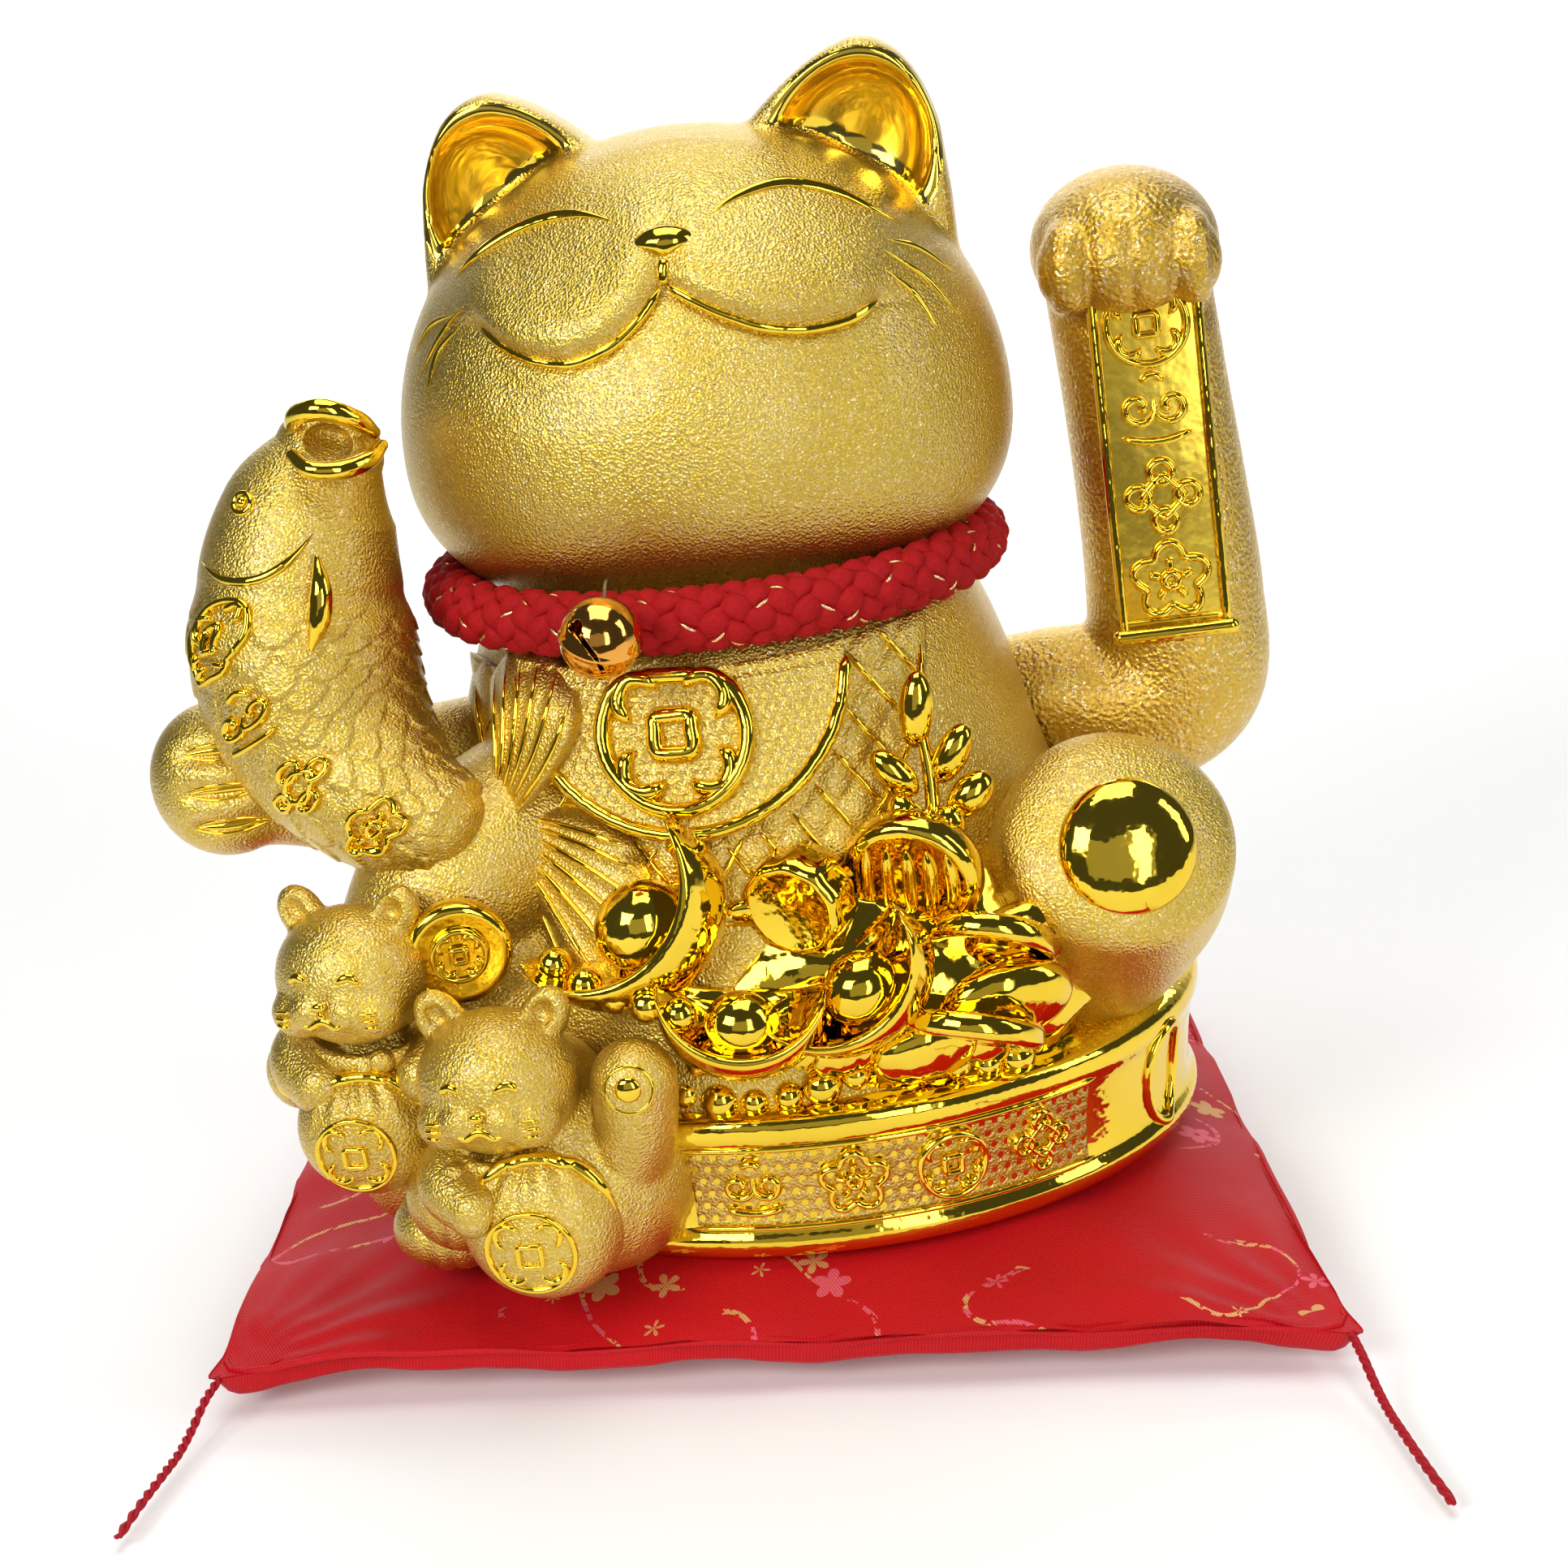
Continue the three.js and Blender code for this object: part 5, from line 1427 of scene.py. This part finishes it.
# %% Coins, the fluted box and the barrel
def coin(r, thick, flutes=0, sides=72):
    """A coin about Y with a raised rim; flutes are grooves round its edge."""
    face = [(0.3, thick / 2), (r * 0.72, thick / 2), (r * 0.8, thick / 2 + 0.5), (r * 0.95, thick / 2 + 0.5),
            (r, thick / 4)]
    points, faces = turned([(x, -z) for x, z in face] + face[::-1], sides)
    angle = np.arctan2(points[:, 1], points[:, 0])
    reach = np.hypot(points[:, 0], points[:, 1]) / r
    groove = 1 - 0.05 * (0.5 + 0.5 * np.cos(angle * flutes)) * reach**4 if flutes else 1
    points = points * np.column_stack([groove * np.ones(len(points))] * 2 + [np.ones(len(points))])
    return points[:, [0, 2, 1]] * np.array([1, -1, 1]), faces


def coin_signs(r, thick, kind="coin"):
    """A raised ornament for a coin's front face."""
    disc = ball((0, -thick / 2 - 0.1, 0), (r * 0.8, 0.4, r * 0.8), sides=40)
    return inlay(Surface(disc), kind, (0, 0), r * 0.5, 0.8, 0.9)


COINS = {
    "leaning_box": ((47, -79, 111), 17, 8, (0.3, 0, -0.25), 0, None, "leaning_coin"),
    "fluted_barrel": ((20, -84, 109), 13, 12, (0.2, 0, -0.4), 10, None, "tall_coin"),
    "side_shell": ((64, -80, 93), 16, 5, (1.0, 0.2, -0.2), 0, None, "side_coin"),
    "low_shell": ((58, -92, 75), 17, 5, (1.15, 0.25, -0.2), 0, None, "low_coin"),
    "kitten_token": ((-63, -86, 104), 13, 6, (0.1, 0, 0.2), 0, "coin", "kitten_coin"),
}
for name, (at, r, thick, turn, flutes, kind, node) in COINS.items():
    shapes = [coin(r, thick, flutes, 96)] + (coin_signs(r, thick, kind) if kind else [])
    if name == "leaning_box":
        face = Surface(coin(r, thick, 0))
        shapes += [ridge(face, [(x, -10), (x * 1.1, 0), (x, 10)], 1.7, 1.6, 0.3)
                   for x in (-9.6, -4.8, 0, 4.8, 9.6)]
    gild(name, [placed(shape, at, turn) for shape in shapes], [node])

# %% The heap, the small shells and the pearls
def lumpy(points):
    """The uneven heap under the treasure."""
    return np.array([1.8 * noise.noise(Vector(p) * 0.09) + 0.35 * noise.noise(Vector(p) * 0.25)
                     for p in points])


def scallop(size):
    """A small ribbed shell, broad and flat."""
    def ribs(points):
        return 0.13 * np.cos(np.arctan2(points[:, 0], points[:, 2] + size * 0.6) * 11)
    return swell(ball((0, 0, 0), (size, size * 0.42, size * 0.72), sides=72), ribs)


heap = swell(ball((26, -54, 78), (65, 39, 37), sides=140), lumpy)
heap = carved(heap, [pack_room])
heap_surface = Surface(heap, band_shape())
SHELLS = [(72, 92, 16, 0.15), (66, 79, 17, 0.05), (87, 80, 12, -0.2), (46, 70, 13, 0.1), (28, 72, 9, 0.1),
          (-4, 70, 8, 0.6), (74, 105, 11, 0.3), (8, 104, 9, 0.9), (34, 117, 9, -0.3)]
small = []
for x, z, size, spin in SHELLS:
    places = heap_surface.drop([(x, z)])[0]
    if len(places):
        small.append(placed(scallop(size), places[0], (0.5, spin, 0.3)))
gild("treasure_heap", [heap, *small], ["treasure_mound"])

pearls = []
for k in range(13):
    angle = -0.42 + k * 0.085
    x, y, _ = band_spot(angle, 60, -3)
    pearls.append(ball((x, y, 64 + 2.5 * math.cos(k * 0.8)), (4.2 + 0.8 * math.cos(k * 2.1),) * 3, sides=22))
gild("pearl_row", pearls, ["pearl_string"])
upper = [ball(p, (4.3, 4.3, 4.3), sides=22) for p in
         spline([(-40, -88, 99), (-30, -94, 94), (-20, -99, 92), (-10, -102, 89)], np.linspace(0, 1, 5))]
gild("upper_pearls", upper)

# %% Sprig of pods
PODS = [((51, -67, 148), (4.4, 4, 9.5), 0.12), ((58.5, -69, 137), (4.2, 4, 8), 0.55),
        ((44.5, -71, 134), (4, 3.8, 7.5), -0.7), ((62, -71, 127), (4.6, 4.4, 7), 0.8),
        ((47, -74, 123), (4.2, 4, 7), -0.5), ((56, -74, 120), (4.4, 4.2, 6), 0.2)]
stem = limb([(52, -74, 114, 2), (53, -70, 130, 1.8), (51, -66, 148, 1.4)], 16, 20)
pods = [ball(at, radii, (0, turn, 0), 32) for at, radii, turn in PODS]
gild("pod_sprig", [stem, *pods], ["leaf_sprig"])

# %% [markdown]
# ## Chest
# A round plaque hangs under the collar. It has a polished rim, a field with fine dimples, and a
# raised sign. Round it lies a quilted net of small lozenges with polished seams. Both are closed
# pads: a round grid of points is dropped on to the chest and pushed out by the relief.

# %% Plaque on the chest
MEDAL = (-4, 161)


def chest_spot(x, z):
    """The place on the chest in front of (x, z), and the way it faces."""
    place, normal = torso_surface.tree.ray_cast(Vector((x, FRONT_FAR, z)), Vector((0, 1, 0)))[:2]
    return place, normal


def polar(r, a):
    """A chest place from a radius and an angle about the middle of the plaque."""
    return chest_spot(MEDAL[0] + r * math.cos(a), min(MEDAL[1] + r * math.sin(a), 170.5))


def medal_relief(r, a):
    """Dished field with dimples, and a raised edge."""
    x, z = r * math.cos(a), r * math.sin(a)
    return 7.5 + 1.5 * (r / 36) ** 4 + 1.2 * hammered(x, z, 2.6)


angles = np.linspace(math.pi - 0.05, 2 * math.pi + 0.05, 200)
medal = slab(lambda a, r: polar(r, a), angles, np.linspace(0.5, 36, 56), lambda a, r: medal_relief(r, a), 1.0)
piece("chest_plaque", [medal], sand_gold, stands_for=["chest_medallion"])
medal_surface = Surface(medal)
rim = [polar(36, a) for a in np.linspace(math.pi + 0.02, 2 * math.pi - 0.02, 120)]
rim_places = np.array([p + n * 8.0 for p, n in rim])
rim_shape = bead(rim_places, np.array([n for _, n in rim]), 1.9, 2.2, 0.03, sides=14)
chest_lines = [rim_shape] + inlay(medal_surface, "coin", (-6, 150), 17.5, 2.3, 3.4)

# %% Quilted net round the plaque
CELL = 8.2
TILT = 0.95


def net_axes(x, z):
    """Position along the two families of seams, in cells."""
    p, q = x * math.sin(TILT) + z * math.cos(TILT), x * math.sin(TILT) - z * math.cos(TILT)
    return p / CELL, q / CELL


def net_relief(r, a):
    """Small pillows between the seams."""
    p, q = net_axes(MEDAL[0] + r * math.cos(a), MEDAL[1] + r * math.sin(a))
    pillow = (abs(math.sin(p * math.pi)) * abs(math.sin(q * math.pi))) ** 0.5
    return 1.6 + 1.3 * pillow


OUTER = 57
sector = np.linspace(math.pi + 0.02, 2 * math.pi + 0.08, 300)
net = slab(lambda a, r: polar(r, a), sector, np.linspace(34, OUTER, 34), lambda a, r: net_relief(r, a), 1.5)
piece("quilted_net", [net], sand_gold)
net_surface = Surface(net)
for family in (0, 1):
    for k in range(-16, 30):
        route, runs = [], []
        for t in np.arange(-90, 90, 1.2):
            c, s = math.sin(TILT), math.cos(TILT)
            x = (k * CELL + t) / (2 * c)
            z = (k * CELL - t) / (2 * s) * (1 if family == 0 else -1)
            r = math.hypot(x - MEDAL[0], z - MEDAL[1])
            if 38.5 < r < OUTER - 0.5 and 112 < z < 166:
                route.append((x, z))
            elif route:
                runs.append(route)
                route = []
        for run in runs:
            if len(run) > 5:
                chest_lines.append(ridge(net_surface, run[:: max(1, len(run) // 6)], 0.75, 1.1, 0.25))
border = [MEDAL + OUTER * np.array([math.cos(a), math.sin(a)])
          for a in np.linspace(math.pi + 0.1, 2 * math.pi, 60)]
chest_lines.append(ridge(Surface(net, torso_whole), border, 1.0, 1.3, 0.05))
gild("chest_polish", chest_lines)

# %% [markdown]
# ## Collar and bell
# The collar is a round plaited cord. A plait of this kind has one set of strands that winds to
# the left and one that winds to the right, and each strand goes over one and under the next. If
# the height of a strand follows a cosine of its own winding, and the other set has the opposite
# sign, every crossing comes out right. A few thin foil threads run beside the strands.

# %% The plaited collar
COLLAR = {"x": 1, "y": -3, "z": 176, "ring": 68, "cord": 7.4}
STRANDS, WINDS = 6, 7


def plait(hand, number, radius, offset=0.0, lift=0.0, flat=0.62):
    """One strand of the plait round the ring."""
    t = np.linspace(0, 2 * math.pi, 520, endpoint=False)
    wind = hand * WINDS * t + (number + offset) * 2 * math.pi / STRANDS
    height = hand * 1.25 * np.cos(STRANDS * WINDS * t)
    r = COLLAR["cord"] - 2.3 + height + lift
    out = np.column_stack([np.cos(t) * np.cos(wind), np.sin(t) * np.cos(wind), np.sin(wind)])
    core = np.column_stack([np.cos(t), np.sin(t), 0 * t]) * COLLAR["ring"]
    places = core + out * r[:, None] + np.array([COLLAR["x"], COLLAR["y"], COLLAR["z"]])
    return bead(places, out, radius, radius * flat, closed=True, sides=8)


core_ring = [scarf((COLLAR["x"], COLLAR["y"], COLLAR["z"]), (COLLAR["ring"],) * 2, 5.2, 0)]
strands = [plait(hand, k, 3.1) for hand in (-1, 1) for k in range(STRANDS)]
piece("collar_plait", core_ring + strands, red_braid, stands_for=["collar_cord"])
foils = [plait(hand, k, 0.42, 0.4, 0.85, flat=0.8) for hand, k in ((1, 0), (1, 3), (-1, 1), (-1, 4))]
piece("collar_foil", foils, foil_thread)

# %% The bell
BELL_AT, BELL_R = (-18.5, -90.3, 178), 9.6
outer = [(BELL_R * math.sin(a), -BELL_R * math.cos(a)) for a in np.linspace(0.02, math.pi - 0.02, 60)]
outer = [(r + 0.35 * math.exp(-((z / 0.7) ** 2)), z) for r, z in outer]
ball_shape = placed(turned(outer, 96), BELL_AT, (0.35, 0.3, 0))
hollow = ball(BELL_AT, (BELL_R - 1,) * 3, sides=60)
cutters = [hollow]
line = spline([(-4.4, -9.3, 4.2), (-1.5, -10.5, 0), (0.5, -9.5, -5), (1, -6, -9)], np.linspace(0, 1, 30))
line = line / np.linalg.norm(line, axis=1, keepdims=True) * (BELL_R - 0.5) + BELL_AT
cutters.append(limb([(*p, 0.8) for p in line[::6]], 12, 20))
for x, z in ((-4.9, 4.6), (-3.7, 5.2), (-3.7, 3.9)):
    cutters.append(ball((BELL_AT[0] + x, BELL_AT[1] - 7, BELL_AT[2] + z), (1.2, 3, 1.2), sides=20))
bell_shape = carved(ball_shape, cutters)
rise = math.radians(38)
collar_y = COLLAR["y"] - math.sqrt(COLLAR["ring"] ** 2 - (BELL_AT[0] - COLLAR["x"]) ** 2)
eye_at = (BELL_AT[0], collar_y - 11.4 * math.cos(rise), COLLAR["z"] + 11.4 * math.sin(rise))
eye_ring = [(2 * math.cos(a), 2 * math.sin(a), 0) for a in np.linspace(0, 2 * math.pi, 30, endpoint=False)]
eyelet = bead(eye_ring, [(0, 0, 1)] * 30, 0.55, 0.55, closed=True, sides=10)
to_eye = Vector(eye_at) - Vector(BELL_AT)
foot = Vector(BELL_AT) + to_eye.normalized() * (BELL_R - 0.4)
top = Vector(BELL_AT) + to_eye.normalized() * (to_eye.length - 1.8)
stem = limb([(*foot, 0.9), (*((foot + top) / 2), 0.8), (*top, 0.8)], 14, 8, aside=(1, 0, 0))
bell_parts = [bell_shape, placed(eyelet, eye_at, (-rise, 0, 0)), stem]
piece("jingle_bell", bell_parts, bell_brass, "bell", ["bell"])

# %% [markdown]
# ## Cushion
# A filled square of cloth is blown up by its filling, and its seam pulls in at the corners. A
# cloth simulation with pressure inside gives the small folds along the seam. The cat presses the
# middle flat, so points are kept under its base afterwards. The simulation runs from a mesh a
# little smaller than the CAD solid, because pressure stretches it. The corners are drawn out to
# a point afterwards, where a cord is sewn in.

# %% Simulated cushion
CUSHION_CORNERS = np.array([(-132.6, -109), (139, -126.6), (113, 121), (-143.2, 124.5)], float)
SEAM_Z, TOP_Z = 8.0, 20.0


def pillow_spot(u, v, side):
    """A point of the cushion; u and v go from -1 to 1 across it, and side is 1 on top."""
    weights = np.array([(1 - u) * (1 - v), (1 + u) * (1 - v), (1 + u) * (1 + v), (1 - u) * (1 + v)]) / 4
    x, y = (weights[:, None] * CUSHION_CORNERS).sum(0)
    edge = (1 - abs(u)) * (1 - abs(v))
    rim = min(1 - abs(u), 1 - abs(v))
    if side > 0:
        return x, y, SEAM_Z + (TOP_Z - SEAM_Z) * (1 - (1 - min(edge / 0.45, 1)) ** 2.2)
    return x, y, SEAM_Z * (1 - rim / 0.024) + 0.3 if rim < 0.024 else 0.3


cells = 84
steps = np.linspace(-1, 1, cells + 1)
upper = [pillow_spot(u, v, 1) for v in steps for u in steps]
lower = [pillow_spot(u, v, -1) for v in steps for u in steps]
grid_faces = []
for row in range(cells):
    for column in range(cells):
        k = row * (cells + 1) + column
        grid_faces.append([k, k + 1, k + cells + 2, k + cells + 1])
both = mesh_object("cushion_start", [(np.array(upper), grid_faces),
                                     (np.array(lower), [f[::-1] for f in grid_faces])])
editable = bmesh.new()
editable.from_mesh(both.data)
bmesh.ops.remove_doubles(editable, verts=editable.verts, dist=0.0002)
bmesh.ops.recalc_face_normals(editable, faces=editable.faces)
editable.to_mesh(both.data)
editable.free()
soft_points, soft_faces = settled(both)
cushion_object = mesh_object("cushion_cloth", [(soft_points, soft_faces)])
cloth = cushion_object.modifiers.new("Cloth", "CLOTH")
cloth.settings.use_pressure = True
cloth.settings.uniform_pressure_force = 4
cloth.settings.effector_weights.gravity = 0
cloth.settings.quality = 4
cloth.settings.tension_stiffness = 25
cloth.point_cache.frame_start = 1
cloth.point_cache.frame_end = 20
for number in range(1, 21):
    bpy.context.scene.frame_set(number)
evaluated = cushion_object.evaluated_get(bpy.context.evaluated_depsgraph_get())
blown = read_mesh(evaluated.to_mesh())[0]
bpy.data.objects.remove(cushion_object)
bpy.context.scene.frame_set(1)
to_corners = np.array([np.hypot(*(soft_points[:, :2] - corner).T) for corner in CUSHION_CORNERS])
from_corner, nearest = to_corners.min(0), to_corners.argmin(0)
sewn = smooth_step(from_corner, 2, 26)
moved = np.clip(blown - soft_points, -3.0, 3.0) * sewn[:, None]
settled_points = soft_points + moved
outward = CUSHION_CORNERS - CUSHION_CORNERS.mean(0)
outward /= np.linalg.norm(outward, axis=1, keepdims=True)
settled_points[:, :2] += outward[nearest] * (3.4 * np.exp(-((from_corner / 7) ** 2)))[:, None]
print("cloth moved", round(float(np.abs(moved).max()), 1), "mm at most")


# %% Creases, flat middle and hem
def creased(points):
    """Folds that run in from the corners and small dents along the seam."""
    x, y, z = points.T
    fold = np.zeros(len(points))
    for cx, cy in CUSHION_CORNERS:
        dx, dy = x - cx, y - cy
        far = np.hypot(dx, dy)
        turn = np.arctan2(dy, dx)
        fold += 1.6 * np.sin(turn * 20 + far * 0.03) * np.exp(-((far / 42) ** 2)) * smooth_step(far, 3, 14)
    small = np.array([noise.noise(Vector((px * 0.035, py * 0.035, 3.1))) for px, py in zip(x, y)])
    dents = np.array([noise.noise(Vector((px * 0.1, py * 0.02, 7.7))) for px, py in zip(x, y)])
    edge = np.exp(-(((z - 9) / 6) ** 2))
    return (fold + 2.4 * small + 1.2 * dents * edge) * sewn


cushion_shape = swell((settled_points, soft_faces), creased)
points, faces = cushion_shape
under_cat = ((points[:, 0] - 5) / 112) ** 2 + ((points[:, 1]) / 104) ** 2
top = np.where(under_cat < 1, 20.1, 20.1 + 2.4 * smooth_step(under_cat, 1, 1.6))
points[:, 2] = np.clip(points[:, 2], 0.15, top)
cushion = piece("brocade_cushion", [(points, faces)], red_brocade, stands_for=["cushion"])
cushion.data.materials.append(plain_satin)
finer = cushion.modifiers.new("Finer", "SUBSURF")
finer.levels = finer.render_levels = 1
for polygon in cushion.data.polygons:
    low_edge = polygon.center.z < 0.0085
    polygon.material_index = 1 if low_edge else 0

# %% Piping along the seam
cushion_surface = Surface((points, faces))
seam = []
for k in range(4):
    a, b = CUSHION_CORNERS[k], CUSHION_CORNERS[(k + 1) % 4]
    for t in np.linspace(0, 1, 40, endpoint=False):
        spot = a + (b - a) * t
        seam.append((*spot, SEAM_Z))
places, normals = cushion_surface.drop(seam)
piping = bead(smoothed(places, 2, True), smoothed(normals, 4, True), 0.8, 0.8, closed=True, sides=8)
piece("seam_piping", [piping], plain_satin)

# %% [markdown]
# ## Light and floor
# Mirror gold shows the room more than itself. It needs large pale areas to look bright, and dark
# gaps between them to look polished. A dim room with four soft windows and a faint wall in front
# gives both. A pale floor curves up behind the object and has a light of its own.

# %% Lights, floor and finish
def window(name, at, size, power, aim=(0, 0, 0.12), colour=(1, 1, 1)):
    """A rectangular soft light that faces the object."""
    data = bpy.data.lights.new(name, "AREA")
    data.shape = "RECTANGLE"
    data.size, data.size_y = size
    data.energy = power
    data.color = colour
    light = bpy.data.objects.new(name, data)
    light.location = at
    light.rotation_euler = (Vector(aim) - Vector(at)).to_track_quat("-Z", "Y").to_euler()
    bpy.context.scene.collection.objects.link(light)


window("key", (-0.6, -0.9, 0.7), (0.6, 0.5), 8.5)
window("side", (0.95, -0.25, 0.55), (0.25, 0.7), 2.4)
window("top", (0.05, 0.0, 1.25), (1.0, 0.8), 8)
window("front", (0.55, -1.25, 0.42), (0.3, 0.9), 4.5)
window("wall", (0.2, -2.0, 0.5), (2.2, 1.2), 2.6, colour=(1.0, 0.95, 0.85))
window("back", (0.0, 1.6, 1.2), (2.4, 0.8), 27, (0, 1.9, 0))
room = bpy.data.worlds.new("room")
room.use_nodes = True
room.node_tree.nodes["Background"].inputs["Color"].default_value = (0.9, 0.95, 1.0, 1)
room.node_tree.nodes["Background"].inputs["Strength"].default_value = 0.07
bpy.context.scene.world = room
bpy.context.scene.view_settings.view_transform = "Standard"
paper, _, paper_shader = shell("paper", Roughness=0.7)
paper_shader.inputs["Base Color"].default_value = (0.88, 0.88, 0.87, 1)
paper_shader.inputs["Emission Color"].default_value = (1, 1, 1, 1)
paper_shader.inputs["Emission Strength"].default_value = 0.09
sweep = [(-0.42, 0), (1.2, 0), (1.9, 0.12), (2.3, 0.6), (2.4, 2.6)]
rows = [[(x / MM, y / MM, z / MM - 0.4) for y, z in spline(sweep, np.linspace(0, 1, 60))]
        for x in (-3.5, 3.5)]
points = np.array(rows).reshape(-1, 3)
floor = mesh_object("floor", [(points, [[k, k + 1, k + 61, k + 60] for k in range(59)])])
floor.data.materials.append(paper)
